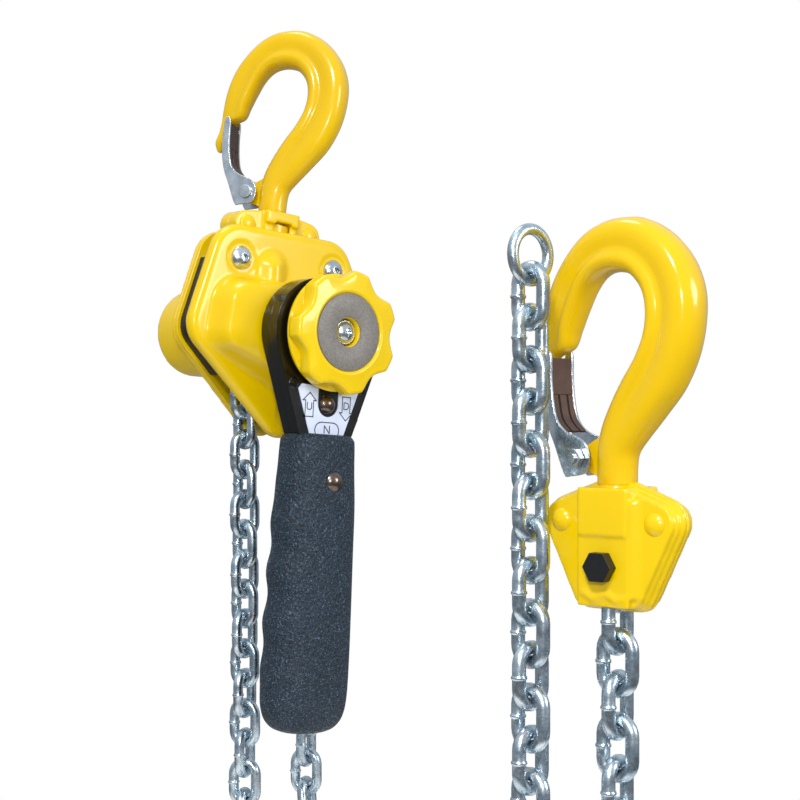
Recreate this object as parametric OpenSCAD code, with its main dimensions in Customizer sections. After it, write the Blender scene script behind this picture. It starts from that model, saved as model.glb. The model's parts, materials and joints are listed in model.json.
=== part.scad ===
// Lever chain hoist (come-along winch), 0.75 t class, 6 x 18 mm load chain.
// Frame: +Z up, X across the body, -Y to the front (hand wheel side).
// Origin: the point inside the top hook's bowl where the hoist hangs.
// Both hooks are hung up and the slack of the chain lies below them.

/* [Load chain] */
// Diameter of the link wire
chain_wire = 6; // [5.6:0.05:6.4]
// Pitch, the inside length of a link
chain_pitch = 18; // [17.5:0.1:18.6]
// Outside width of a link
chain_width = 20.4; // [19.6:0.1:20.8]
// Play between one link and the next
chain_play = 0.4; // [0.35:0.05:0.5]
// Links hanging straight below each side of the sheave
fall_links = 15; // [12:1:17]
// Links of the load chain lying slack below the hoist
load_slack_links = 10; // [8:1:12]
// Links of the load chain rising to the lower hook
load_rise_links = 9; // [7:1:11]
// Links of the tail chain lying slack below the hoist
tail_slack_links = 8; // [7:1:10]
// Links of the tail chain rising to its end ring
tail_rise_links = 16; // [12:1:17]
// Way that the load chain runs on the ground, turned from +X
load_run_turn = -105; // [-108:0.5:-102]
// Way that the tail chain runs on the ground, turned from +X
tail_run_turn = -102.7; // [-105:0.1:-101]
// How late the load chain lifts off the ground, 1 is an even curve
load_lift = 1; // [0.9:0.05:1.2]
// How late the tail chain lifts off the ground, 1 is an even curve
tail_lift = 1.15; // [1.1:0.05:1.2]
// Diameter of the end ring's wire
ring_wire = 5; // [4:0.5:6]
// Outside diameter of the end ring
ring_d = 27; // [25:0.5:30]

/* [Hooks] */
// Depth from the hook's seat to the top face of its yoke
hook_reach = 91; // [89:0.5:97]
// Radius of the round stem that swivels in the yoke
stem_r = 8; // [7.5:0.1:8.4]
// Radius of the collar that holds the stem in the yoke
collar_r = 11; // [10:0.1:11.4]
// Thickness of the collar
collar_h = 5; // [4:0.1:5.2]
// Top hook turned in its swivel
top_hook_turn = -58; // [-90:1:0]
// Lower yoke turned about its chain
lower_yoke_turn = -80; // [-100:1:-60]
// Lower hook turned in its swivel
lower_hook_turn = -84; // [-120:1:-40]
// Radius of the latch pin
latch_pin_r = 2.5; // [2:0.1:3]
// Thickness of the latch's sheet
latch_sheet = 1.6; // [1.2:0.1:2]
// Half of the width between the latch's sides
ear_gap = 6.7; // [6.6:0.05:7]

/* [Yokes] */
// Depth from the hook's seat to the top yoke's pin
pin_drop = 111; // [109.8:0.1:113]
// Radius of the top yoke's pin
pin_r = 5; // [4.4:0.1:5.2]
// Half thickness of a yoke's wings
yoke_wing = 8.6; // [7.5:0.1:9.5]
// Half thickness of a yoke's middle block
yoke_block = 13; // [12.4:0.1:14]
// Rivet centres to each side of the yoke's axis
yoke_rivet_x = 23; // [21:0.5:25]
// Radius of the yoke rivets
yoke_rivet_r = 3; // [2.5:0.1:3.5]
// Depth from the lower hook's seat to the chain bolt
bolt_drop = 124; // [121:0.5:126]
// Radius of the chain bolt
bolt_r = 3.5; // [3:0.1:3.8]

/* [Body] */
// How far the front plate and its cover reach out past the rear plate, on the left
cover_reach = 8; // [6:0.5:9]
// Clear width between the two side plates
plate_gap = 23; // [22.4:0.1:24]
// Thickness of each side plate
plate_t = 3.5; // [3:0.1:4.5]
// Drop from the top yoke's pin to the drive shaft
shaft_drop = 54; // [52:0.5:56]
// Side step from the top yoke's pin to the drive shaft
shaft_side = 9; // [7:0.5:11]
// Lean of the top hook and its yoke
hook_lean = 6.5; // [5:0.5:8]
// Lean of the hoist body below the pin
body_lean = 4; // [3:0.5:5]
// Radius of the stay bolts
stay_r = 4; // [3.4:0.1:4.4]
// Wall of the pressed brake cover
cover_wall = 2.5; // [2:0.1:3]
// Depth of the brake cover's dome from its flange
dome_depth = 22; // [21:0.1:23]
// Wall of the gear case
case_wall = 3; // [2.5:0.1:3.5]
// Depth of the gear case behind the rear plate
case_depth = 35; // [34.5:0.1:38]

/* [Gears] */
// Module of the gear teeth
gear_module = 1.5; // [1.4:0.02:1.54]
// Teeth of the drive pinion and of the small idler gears
small_teeth = 12; // [12:1:12]
// Teeth of the large idler gears and of the load gear
large_teeth = 28; // [28:1:28]
// Play between meshing teeth
tooth_play = 0.3; // [0.25:0.05:0.4]
// Radius of the drive shaft
shaft_r = 7.5; // [7:0.1:7.8]
// Radial running clearance of every shaft and pin
fit = 0.06; // [0.03:0.01:0.09]

/* [Brake] */
// Outside radius of the ratchet disc
ratchet_r = 24.5; // [23.8:0.1:24.9]
// Depth of the ratchet's saw teeth
ratchet_depth = 3.6; // [3.2:0.1:3.9]
// Teeth of the ratchet disc
ratchet_teeth = 12; // [12:1:12]
// Thickness of the ratchet disc
ratchet_t = 4.8; // [4.4:0.1:5]
// Thickness of a friction disc
friction_t = 1.8; // [1.5:0.1:2]
// Radius of the friction discs and pressure flanges
friction_r = 20.5; // [19:0.1:20.8]
// Distance of the pawl pins from the shaft
pawl_reach = 30.5; // [30.1:0.1:30.8]
// Radius of the pawl pins
pawl_pin_r = 2; // [1.7:0.1:2.3]

/* [Lever] */
// Radius of the lever head's shoulders
head_r = 31.5; // [31:0.5:33]
// Centres of the shoulders to each side of the shaft
head_side = 8; // [7:0.5:9]
// Thickness of the lever head over both shells
head_t = 15; // [14.6:0.1:16]
// Wall of the pressed lever shells
shell_wall = 2.5; // [2:0.1:2.8]
// Width of the lever's arm inside the grip
arm_w = 26; // [22:0.5:28]
// Length from the shaft to the end of the grip
lever_length = 234; // [220:1:250]
// Length of the grip
grip_length = 174; // [160:1:176]
// Widest width of the grip
grip_w = 54; // [50:0.5:58]
// Depth of the grip from front to back
grip_depth = 40; // [37:0.5:44]
// Drop from the shaft to the selector's pivot
selector_drop = 42; // [41.5:0.1:42.5]
// Outside radius of the change gear
change_r = 19.5; // [19:0.1:19.8]

/* [Hand wheel] */
// Radius over the lobes of the hand wheel
wheel_r = 36.5; // [33:0.5:38]
// Depth of the hollows between the lobes
lobe_depth = 5; // [4:0.1:6]
// Number of lobes
lobes = 7; // [5:1:9]
// Thickness of the hand wheel
wheel_t = 15; // [14.6:0.1:16]
// Radius of the plate in the hand wheel's face
wheel_plate_r = 22.5; // [20:0.5:24]

/* [Hidden] */

// Colours
yellow = [0.93, 0.76, 0.05];
black = [0.06, 0.06, 0.07];
rubber = [0.15, 0.19, 0.22];
zinc = [0.72, 0.74, 0.76];
steel = [0.55, 0.56, 0.58];
grey = [0.45, 0.44, 0.43];
brown = [0.25, 0.17, 0.12];
lining = [0.35, 0.30, 0.24];
pale = [0.85, 0.86, 0.92];

round_fn = 64;
touch = 0.02;
seat_gap = 0.3;

// Places of the pin and of the drive shaft, seen from the front
pin_x = -pin_drop*sin(hook_lean);
pin_z = -pin_drop*cos(hook_lean);
shaft_x = pin_x + shaft_side*cos(body_lean) - shaft_drop*sin(body_lean);
shaft_z = pin_z - shaft_side*sin(body_lean) - shaft_drop*cos(body_lean);

// Stack along the shaft: forward of the chain's plane is positive
gap_half = plate_gap/2;
plate_front = gap_half + plate_t;
cover_flange = plate_front + 3;
cover_top = cover_flange + dome_depth - 1;
hub_back = plate_front + 3.2;
hub_flange_t = 3.4;
lining_a = hub_back + hub_flange_t + touch;
ratchet_back = lining_a + friction_t + touch;
lining_b = ratchet_back + ratchet_t + touch;
change_back = lining_b + friction_t + touch;
change_flange_t = 3;
head_back = cover_top + 1.5;
head_front = head_back + head_t;
head_seam = (head_back + head_front)/2;
arm_mid = head_seam;
wheel_back = head_front + 2.4;
wheel_front = wheel_back + wheel_t;
case_back = plate_front + case_depth;

// Corners of the rear plate round the shaft: x, y, radius
plate_corners = [
    [33, 42, 20],
    [-33, 42, 20],
    [-47, 2, 18],
    [0, -47, 15.6],
    [47, 2, 18]
];
// Corners of the front plate and its cover, which reach further to the left
cover_corners = [
    [24, 42, 19],
    [-41, 42, 20],
    [-47 - cover_reach, 2, 18],
    [-4, -47, 15.6],
    [47, 2, 18]
];
stay_places = [[27, 42], [-41, 42], [0, -48]];

// ---------- placing ----------

// From the hook's own frame: origin in the bowl, stem along -Z
module hang_top() {
    rotate([0, hook_lean, 0])
        children();
}

module swivel_top() {
    hang_top()
        rotate([0, 0, top_hook_turn])
            children();
}

// Body frame: origin on the shaft, x across, y up, z to the front
module at_shaft() {
    translate([shaft_x, 0, shaft_z])
        rotate([0, body_lean, 0])
            rotate([90, 0, 0])
                children();
}

// ---------- flat shapes ----------

function polar(r, a) = [r*cos(a), r*sin(a)];

// Where the line from round corner a to round corner b touches both, anticlockwise
function touching(a, b) =
    let (d = b - a)
    atan2(d[1], d[0]) - acos((a[2] - b[2])/norm([d[0], d[1]]));

corner_steps = 9;

// Outline round a list of round corners, drawn in by an inset
module rounded(corners, inset = 0, steps = corner_steps) {
    n = len(corners);
    polygon([
        for (i = [0:n - 1])
            let (
                c = corners[i],
                from = touching(corners[(i + n - 1)%n], c),
                sweep = (touching(c, corners[(i + 1)%n]) - from + 720)%360
            )
            for (k = [0:steps])
                [c[0], c[1]] + polar(c[2] - inset, from + sweep*k/steps)
    ]);
}

module ring(outer, inner) {
    difference() {
        circle(r = outer, $fn = round_fn);
        circle(r = inner, $fn = round_fn);
    }
}

// A tube from z0 to z1
module tube(outer, inner, z0, z1) {
    translate([0, 0, z0])
        linear_extrude(z1 - z0)
            ring(outer, inner);
}

module disc(r, z0, z1) {
    translate([0, 0, z0])
        cylinder(r = r, h = z1 - z0, $fn = round_fn);
}

module hexagon(across, z0, z1) {
    translate([0, 0, z0])
        cylinder(d = across/cos(30), h = z1 - z0, $fn = 6);
}

// Low dome of height h on radius r, standing on z0
module dome(r, h, z0) {
    big = (r*r + h*h)/(2*h);
    translate([0, 0, z0])
        rotate_extrude($fn = round_fn)
            intersection() {
                translate([0, h - big])
                    circle(r = big, $fn = round_fn);
                square(2*big);
            }
}

// ---------- gears ----------

function involute_angle(r, base) = sqrt(r*r/(base*base) - 1)*180/PI - acos(base/r);

// Half the angle that a tooth takes at radius r
function tooth_half(r, teeth, play) =
    let (
        pitch_r = gear_module*teeth/2,
        base = pitch_r*cos(20)
    )
    90/teeth - play/4/pitch_r*180/PI
        + involute_angle(pitch_r, base) - involute_angle(max(r, base), base);

// Involute gear outline with a tooth on the +x axis
module gear_outline(teeth, play) {
    pitch_r = gear_module*teeth/2;
    root_r = pitch_r - 1.25*gear_module;
    tip_r = pitch_r + 0.92*gear_module;
    steps = 4;
    levels = [for (k = [0:steps]) root_r + (tip_r - root_r)*k/steps];
    polygon([
        for (i = [0:teeth - 1])
            let (a = i*360/teeth)
            each concat(
                [for (k = [0:steps]) polar(levels[k], a - tooth_half(levels[k], teeth, play))],
                [for (k = [steps:-1:0]) polar(levels[k], a + tooth_half(levels[k], teeth, play))]
            )
    ]);
}

module gear(teeth, z0, z1, turn = 0) {
    translate([0, 0, z0])
        linear_extrude(z1 - z0)
            rotate(turn)
                gear_outline(teeth, tooth_play);
}

gear_reach = gear_module*(small_teeth + large_teeth)/2;
load_gear_back = -plate_front - 9.5;
load_gear_front = -plate_front - 2.5;
fast_back = load_gear_back - 9.5;
fast_front = load_gear_back - 2.5;
idler_journal_r = 5;

// ---------- swept forms ----------

// Skin through rings of points, closed at both ends
module skin(rings) {
    n = len(rings[0]);
    m = len(rings);
    polyhedron(
        points = [for (r = rings) each r],
        faces = [
            [for (k = [n - 1:-1:0]) k],
            [for (k = [0:n - 1]) (m - 1)*n + k],
            for (i = [0:m - 2])
                for (k = [0:n - 1])
                    each [
                        [i*n + k, i*n + (k + 1)%n, (i + 1)*n + (k + 1)%n],
                        [i*n + k, (i + 1)*n + (k + 1)%n, (i + 1)*n + k]
                    ]
        ]
    );
}

// Catmull-Rom curve through rows a, b, c, d at t between b and c
function smooth(a, b, c, d, t) =
    0.5*(2*b + (c - a)*t + (2*a - 5*b + 4*c - d)*t*t + (3*b - a - 3*c + d)*t*t*t);

// Rows between the given rows, with steps rows for each span
function refined(rows, steps) =
    let (last = len(rows) - 1)
    [
        for (i = [0:last - 1])
            for (k = [0:steps - 1])
                smooth(rows[max(i - 1, 0)], rows[i], rows[i + 1], rows[min(i + 2, last)], k/steps),
        rows[last]
    ];

coil_rings = 8;

// Middle of ring i of a coil: radius, wire, height and turns; it is centred on z = 0
function coil_point(c, i) =
    let (a = 360*i/coil_rings)
    [c[0]*cos(a), c[0]*sin(a), c[2]*(i/(coil_rings*c[3]) - 0.5)];

// Least gap between the curls of a coil, measured from ring to ring
function coil_gap(c) =
    let (n = coil_rings*c[3])
    min([
        for (i = [0:n])
            for (k = [i + coil_rings/2:1:n])
                norm(coil_point(c, i) - coil_point(c, k)) - c[1]
    ]);

// A round wire wound round the z axis: one unbroken tube
module coil(c) {
    skin([
        for (i = [0:coil_rings*c[3]])
            let (a = 360*i/coil_rings, p = coil_point(c, i))
            [
                for (k = [0:5])
                    let (out = c[1]/2*cos(60*k))
                    p + [out*cos(a), out*sin(a), c[1]/2*sin(60*k)]
            ]
    ]);
}

// ---------- side plates and covers ----------

module stay_holes(r) {
    for (p = stay_places)
        translate(p)
            circle(r = r, $fn = round_fn);
}

bearing_r = 12;
bearing_wall = 3.5;

module front_plate() {
    color(yellow)
        at_shaft()
            translate([0, 0, gap_half])
                linear_extrude(plate_t)
                    difference() {
                        rounded(cover_corners, 1);
                        circle(r = bearing_r + bearing_wall, $fn = round_fn);
                        stay_holes(stay_r + fit);
                        translate([-shaft_side, shaft_drop])
                            circle(r = pin_r + fit, $fn = round_fn);
                        for (p = pawl_places)
                            translate(p)
                                circle(r = pawl_pin_r + fit, $fn = round_fn);
                    }
}

module rear_plate() {
    color(yellow)
        at_shaft()
            translate([0, 0, -plate_front])
                linear_extrude(plate_t)
                    difference() {
                        rounded(plate_corners, 1);
                        circle(r = bearing_r + bearing_wall, $fn = round_fn);
                        stay_holes(stay_r + fit);
                        translate([-shaft_side, shaft_drop])
                            circle(r = pin_r + fit, $fn = round_fn);
                        for (s = [-1, 1])
                            translate([s*gear_reach, 0])
                                circle(r = idler_journal_r + fit, $fn = round_fn);
                    }
}

// Outer profile of the brake cover's dome: radius, height over the flange's back
dome_profile = [
    [41, 2.6], [40.6, 7], [39.6, 11.5], [37.8, 15.4], [34.8, 18.8], [31, 20.8], [27.5, 21.6]
];
dome_scale = (cover_top - plate_front)/22;
neck_r = 14;

module brake_cover() {
    outer = [for (p = dome_profile) [p[0], p[1]*dome_scale]];
    inner = [for (p = dome_profile) [p[0] - cover_wall, p[1]*dome_scale - 0.4*cover_wall]];
    top = cover_top - plate_front;
    color(yellow)
        at_shaft()
            translate([0, 0, plate_front]) {
                difference() {
                    union() {
                        linear_extrude(3)
                            rounded(cover_corners);
                        rotate_extrude($fn = round_fn)
                            polygon(concat([[0, 0], [42.5, 0]], outer, [[24, top], [0, top]]));
                    }
                    translate([0, 0, -1])
                        linear_extrude(6)
                            stay_holes(stay_r + fit);
                    rotate_extrude($fn = round_fn)
                        polygon(concat(
                            [[0, -1], [inner[0][0], -1]],
                            inner,
                            [[24, top - cover_wall], [neck_r + 1, top - cover_wall]],
                            [[neck_r + 1, top + 1], [0, top + 1]]
                        ));
                }
            }
}

// Capsule between two equal rounds
module capsule(reach, r) {
    translate([-reach, -r])
        square([2*reach, 2*r]);
    for (s = [-1, 1])
        translate([s*reach, 0])
            circle(r = r, $fn = round_fn);
}

case_r = gear_module*large_teeth/2 + gear_module + 1.2 + case_wall;

module gear_case() {
    steps = [[0, case_depth - 5], [1.2, case_depth - 2.4], [2.8, case_depth - 0.9], [5, case_depth]];
    color(yellow)
        at_shaft()
            translate([0, 0, -plate_front])
                mirror([0, 0, 1])
                    difference() {
                        union() {
                            linear_extrude(3)
                                rounded(plate_corners, 1);
                            for (s = steps)
                                linear_extrude(s[1])
                                    capsule(gear_reach, case_r - s[0]);
                        }
                        difference() {
                            translate([0, 0, -1])
                                linear_extrude(case_depth - case_wall + 1)
                                    capsule(gear_reach, case_r - case_wall);
                            for (x = [-gear_reach, 0, gear_reach])
                                translate([x, 0, case_depth - case_wall - 6.5])
                                    cylinder(r = idler_journal_r + 3, h = 8, $fn = round_fn);
                        }
                        for (x = [-gear_reach, 0, gear_reach])
                            translate([x, 0, case_depth - case_wall - 8])
                                cylinder(r = idler_journal_r + fit, h = 8.5, $fn = round_fn);
                        translate([0, 0, -1])
                            linear_extrude(6)
                                stay_holes(stay_r + fit);
                    }
}

module stay_spacers() {
    color(steel)
        at_shaft()
            for (p = stay_places)
                translate(p)
                    tube(stay_r + 2, stay_r + fit, -gap_half, gap_half);
}

// Through bolts with domed heads in front and hexagon nuts behind
module body_bolts() {
    back = -plate_front - 3;
    color(zinc)
        at_shaft()
            for (p = stay_places)
                translate(p) {
                    difference() {
                        union() {
                            disc(stay_r, back - 7, cover_flange + touch);
                            disc(stay_r + 3, cover_flange, cover_flange + 1);
                            dome(stay_r + 3, 3.6, cover_flange + 1);
                        }
                        hexagon(4, cover_flange + 2, cover_flange + 8);
                    }
                    difference() {
                        hexagon(12, back - 6, back);
                        disc(stay_r + fit, back - 7, back + 1);
                    }
                }
}

// Rubber-coated strips that close the gap between the plates
module side_guards() {
    color(black)
        at_shaft()
            translate([0, 0, -gap_half])
                linear_extrude(plate_gap)
                    intersection() {
                        difference() {
                            rounded(plate_corners, 3);
                            rounded(plate_corners, 5.5);
                        }
                        for (s = [-1, 1])
                            translate([s*50, 8])
                                square([56, 70], center = true);
                    }
}

link_mid = (chain_width - chain_wire)/2;
link_inside = (chain_pitch + chain_play)/2;

// The links on the sheave turn about the end wires of those that lie flat
flat_reach = link_inside + chain_wire/2;
stand_reach = chain_pitch - flat_reach;
wrap_r = sqrt(pow(flat_reach, 2) + pow(stand_reach, 2) + 2*flat_reach*stand_reach*cos(45))/sin(45);
sheave_reach = sqrt(pow(wrap_r, 2) - pow(stand_reach, 2));
flat_link_r = sqrt(pow(wrap_r, 2) - pow(flat_reach, 2));
guide_x = sheave_reach + chain_width/2 + 3;

// Steel cheeks that keep the two falls of chain on the sheave
module chain_guides() {
    color(steel)
        at_shaft()
            for (s = [-1, 1])
                translate([s*(guide_x + 2), 0, 0])
                    rotate([90, 0, 0])
                        translate([0, 0, -14])
                            linear_extrude(32)
                                square([4, plate_gap], center = true);
}

// Stripper whose finger lies in the groove of the sheave
module chain_stripper() {
    place = stay_places[2];
    color(steel)
        at_shaft()
            translate([0, 0, -2.6])
                linear_extrude(5.2)
                    difference() {
                        union() {
                            translate(place)
                                circle(r = stay_r + 5, $fn = round_fn);
                            polygon([[-8, place[1]], [8, place[1]], [5.5, -16.5], [0, -14.6], [-5.5, -16.5]]);
                        }
                        translate(place)
                            circle(r = stay_r + 2 + fit, $fn = round_fn);
                    }
}

module sheave_bearings() {
    color(steel)
        at_shaft()
            for (s = [-1, 1])
                mirror([0, 0, s < 0 ? 1 : 0])
                    tube(bearing_r + bearing_wall - fit, bearing_r + fit, gap_half, plate_front);
}

module yoke_pin() {
    color(steel)
        at_shaft()
            translate([-shaft_side, shaft_drop])
                disc(pin_r, -plate_front, plate_front);
}

// ---------- brake ----------

pawl_angles = [152, 332];
pawl_places = [for (a = pawl_angles) polar(pawl_reach, a)];
tooth_step = 360/ratchet_teeth;
pawl_back_angle = 26;

// Saw-toothed disc that the brake clamps
module ratchet_disc() {
    // The steep faces stand a fixed angle before each pawl pin
    first = pawl_angles[0] - pawl_back_angle;
    color(steel)
        at_shaft()
            translate([0, 0, ratchet_back])
                linear_extrude(ratchet_t)
                    difference() {
                        polygon([
                            for (i = [0:ratchet_teeth - 1])
                                let (a = first + i*tooth_step)
                                each [
                                    polar(ratchet_r - ratchet_depth, a),
                                    polar(ratchet_r - ratchet_depth*0.52, a + tooth_step*0.5),
                                    polar(ratchet_r, a + tooth_step - 0.8)
                                ]
                        ]);
                        circle(r = hub_sleeve_r + fit, $fn = round_fn);
                    }
}

module pawl_pins() {
    color(steel)
        at_shaft()
            for (p = pawl_places)
                translate(p) {
                    disc(pawl_pin_r, gap_half + 0.5, lining_b + 3);
                    disc(pawl_pin_r + 1.4, plate_front, ratchet_back - 0.1);
                    disc(pawl_pin_r + 1.2, lining_b + 2.9, lining_b + 3.6);
                }
}

pawl_coil = [pawl_pin_r + 0.8, 0.6, 1.8, 1.75];

module pawl_springs() {
    color(zinc)
        at_shaft()
            for (p = pawl_places)
                translate([p[0], p[1], lining_b + 1.5])
                    coil(pawl_coil);
}

// Pawl that drops behind a saw tooth; angle is the way to its pin
module brake_pawl(angle) {
    pin = polar(pawl_reach, angle);
    face = angle - pawl_back_angle;
    inner = polar(ratchet_r - ratchet_depth + 0.5, face + 1.4);
    outer = polar(ratchet_r + 0.2, face + 1.4);
    heel = polar(pawl_reach - 3.7, angle - 1.5);
    back = polar(pawl_reach + 1.6, angle - 6);
    round_pin = [for (a = [30, 90, 150]) pin + polar(pawl_pin_r + 1.4, angle + a)];
    color(steel)
        at_shaft()
            translate([0, 0, ratchet_back + touch])
                linear_extrude(ratchet_t - 2*touch)
                    difference() {
                        union() {
                            translate(pin)
                                circle(r = pawl_pin_r + 1.9, $fn = round_fn);
                            polygon(concat([outer, back], round_pin, [heel, inner]));
                        }
                        translate(pin)
                            circle(r = pawl_pin_r + fit, $fn = round_fn);
                    }
}

module upper_brake_pawl() {
    brake_pawl(pawl_angles[0]);
}

module lower_brake_pawl() {
    brake_pawl(pawl_angles[1]);
}

hub_sleeve_r = 11;
shaft_nose_r = 5;
shaft_nose_back = head_front + 1;
wheel_floor = 4.2;
wheel_pull = 3;
washer_back = wheel_back + wheel_floor + wheel_pull + 2.6;

// Shaft with its pinion behind, running through the sheave to the hand wheel
module drive_shaft() {
    color(steel)
        at_shaft()
            difference() {
                union() {
                    disc(idler_journal_r, -case_back + case_wall + 0.8, fast_back + 1);
                    gear(small_teeth, fast_back - 1, fast_front + 1);
                    disc(shaft_r, fast_front, shaft_nose_back);
                    disc(shaft_nose_r, shaft_nose_back - 1, washer_back);
                }
                disc(2.6, washer_back - 12, washer_back + 1);
                difference() {
                    disc(shaft_nose_r + 1, head_front + 1.2, head_front + 2);
                    disc(shaft_nose_r - 0.6, head_front + 1, head_front + 2.2);
                }
            }
}

module brake_hub() {
    color(steel)
        at_shaft() {
            tube(friction_r, shaft_r + fit, hub_back, hub_back + hub_flange_t);
            tube(hub_sleeve_r, shaft_r + fit, hub_back, change_back - 0.4);
        }
}

module friction_discs() {
    color(lining)
        at_shaft()
            for (z = [lining_a, lining_b])
                tube(friction_r, hub_sleeve_r + fit, z, z + friction_t - touch);
}

change_root = 15.5;

// Toothed wheel that the lever's selector drives, screwed on the shaft
module change_gear() {
    tooth_back = head_back + shell_wall + 1;
    tooth_front = head_front - shell_wall - 1;
    color(steel)
        at_shaft() {
            tube(friction_r, shaft_r + fit, change_back, change_back + change_flange_t);
            tube(neck_r, shaft_r + fit, change_back, tooth_back + 0.5);
            tube(hub_sleeve_r, shaft_r + fit, tooth_back, head_front + 0.8);
            translate([0, 0, tooth_back])
                linear_extrude(tooth_front - tooth_back)
                    difference() {
                        polygon([
                            for (i = [0:11])
                                each [
                                    polar(change_root, i*30 - 8.5),
                                    polar(change_r, i*30 - 4.5),
                                    polar(change_r, i*30 + 4.5),
                                    polar(change_root, i*30 + 8.5)
                                ]
                        ]);
                        circle(r = shaft_r + fit, $fn = round_fn);
                    }
        }
}

// Snap ring in the shaft's groove
module retaining_ring() {
    color(zinc)
        at_shaft()
            translate([0, 0, head_front + 1.25])
                linear_extrude(0.7)
                    difference() {
                        ring(shaft_nose_r + 2, shaft_nose_r - 0.5);
                        translate([0, -5])
                            square([4, 10], center = true);
                    }
}

module wheel_screw() {
    head_z = washer_back + 1.2;
    color(zinc)
        at_shaft() {
            disc(6.8, washer_back, head_z);
            disc(2.5, washer_back - 11, washer_back + 0.5);
            difference() {
                dome(6.4, 3.6, head_z);
                for (a = [0, 90])
                    rotate(a)
                        translate([0, 0, head_z + 3.2])
                            cube([5, 1.1, 3.4], center = true);
            }
        }
}

wheel_coil = [shaft_nose_r + 0.95, 0.8, wheel_pull + 1.3, 3];

module wheel_spring() {
    color(zinc)
        at_shaft()
            translate([0, 0, wheel_back + wheel_floor + 0.65 + wheel_coil[2]/2])
                coil(wheel_coil);
}

// ---------- load train ----------

module load_sheave() {
    hub_back_z = -plate_front - 10;
    bore_r = shaft_r + fit;
    drum_r = flat_link_r - chain_wire/2 - seat_gap;
    groove_r = sheave_reach - chain_width/2 - seat_gap;
    color(steel)
        at_shaft()
            difference() {
                rotate_extrude($fn = round_fn)
                    polygon([
                        [bore_r, hub_back_z],
                        [bearing_r - 0.1, hub_back_z],
                        [bearing_r, -plate_front],
                        [bearing_r, -gap_half + 0.3],
                        [drum_r, -gap_half + 0.3],
                        [drum_r, -chain_wire/2 - 1.6],
                        [groove_r, -chain_wire/2 - 0.6],
                        [groove_r, chain_wire/2 + 0.6],
                        [drum_r, chain_wire/2 + 1.6],
                        [drum_r, gap_half - 0.3],
                        [bearing_r, gap_half - 0.3],
                        [bearing_r, plate_front],
                        [bore_r, plate_front]
                    ]);
                // Seats for the links that lie flat
                for (i = [0:3])
                    rotate(45 + i*90)
                        translate([drum_r + 3.4, 0, 0])
                            cube([10, 25, chain_width + 0.8], center = true);
            }
}

module load_gear() {
    color(steel)
        at_shaft()
            difference() {
                gear(large_teeth, load_gear_back, load_gear_front);
                disc(bearing_r - 0.1 + 0.05, load_gear_back - 1, load_gear_front + 1);
            }
}

// Idler shaft with its large gear behind and its small gear in front
module idler_gear(side) {
    color(steel)
        at_shaft()
            translate([side*gear_reach, 0]) {
                disc(idler_journal_r, -case_back + case_wall + 0.8, -gap_half - 0.4);
                gear(large_teeth, fast_back, fast_front, 180/large_teeth);
                gear(small_teeth, load_gear_back - 0.5, load_gear_front + 0.5, 180/small_teeth);
            }
}

module left_idler_gear() {
    idler_gear(-1);
}

module right_idler_gear() {
    idler_gear(1);
}

// ---------- lever ----------

neck_half = 20;
neck_drop = 58;
shell_bolts = [[16, 22], [-16, 22], [-25, -31], [25, -31]];

// Outline of the lever's shells: round shoulders that narrow to the neck, and the arm
module lever_outline(inset = 0) {
    arm = arm_w/2 - inset;
    arm_end = lever_length - 26 - inset;
    rounded([
        [head_side, 0, head_r],
        [-head_side, 0, head_r],
        [-neck_half + 3, -neck_drop, 3],
        [neck_half - 3, -neck_drop, 3]
    ], inset, 2*corner_steps);
    polygon([[-arm, -neck_drop], [-arm, -arm_end], [arm, -arm_end], [arm, -neck_drop]]);
}

// The opening in the right-hand rim for the selector's thumb piece
selector_slot = [[9, -neck_drop - 7], [40, -selector_drop + 5]];

// One pressed shell with its rim towards the seam; +1 is the front shell
module lever_shell(side, bore_r) {
    from = side > 0 ? head_front : head_back;
    half = head_t/2;
    color(black)
        at_shaft()
            translate([0, 0, from])
                mirror([0, 0, side > 0 ? 1 : 0])
                    difference() {
                        linear_extrude(half)
                            lever_outline();
                        translate([0, 0, shell_wall])
                            linear_extrude(half)
                                lever_outline(shell_wall);
                        translate([0, 0, -1])
                            cylinder(r = bore_r, h = shell_wall + 2, $fn = round_fn);
                        translate([0, 0, -1])
                            linear_extrude(shell_wall + 2) {
                                for (p = shell_bolts)
                                    translate(p)
                                        circle(r = 2.1, $fn = round_fn);
                                translate([0, -selector_drop])
                                    circle(r = 3 + fit, $fn = round_fn);
                                translate([0, -grip_rivet_drop])
                                    circle(r = 3 + fit, $fn = round_fn);
                            }
                        translate([selector_slot[0][0], selector_slot[0][1], half - 4.2])
                            cube([
                                selector_slot[1][0] - selector_slot[0][0],
                                selector_slot[1][1] - selector_slot[0][1],
                                6
                            ]);
                    }
}

grip_rivet_drop = 87;
grip_top = lever_length - grip_length;
grip_rivet_r = 6;
// The rivet's heads lie in shallow seats on the grip's front and back
grip_rivet_seat = grip_half_depth(grip_rivet_drop) - 0.9;

module lever_rear_shell() {
    lever_shell(-1, neck_r + fit);
}

module lever_front_shell() {
    lever_shell(1, hub_sleeve_r + fit);
}

// Low black screws that hold the two shells together, peened over behind
module lever_screws() {
    color(black)
        at_shaft()
            for (p = shell_bolts)
                translate(p) {
                    difference() {
                        union() {
                            disc(2, head_back - 0.7, head_front + touch);
                            dome(3.6, 1.2, head_front);
                        }
                        for (a = [0, 90])
                            rotate(a)
                                translate([0, 0, head_front + 1.3])
                                    cube([3.6, 0.8, 1], center = true);
                    }
                    difference() {
                        disc(3.4, head_back - 0.7, head_back);
                        disc(2 + fit, head_back - 2, head_back + 1);
                    }
                }
}

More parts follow.
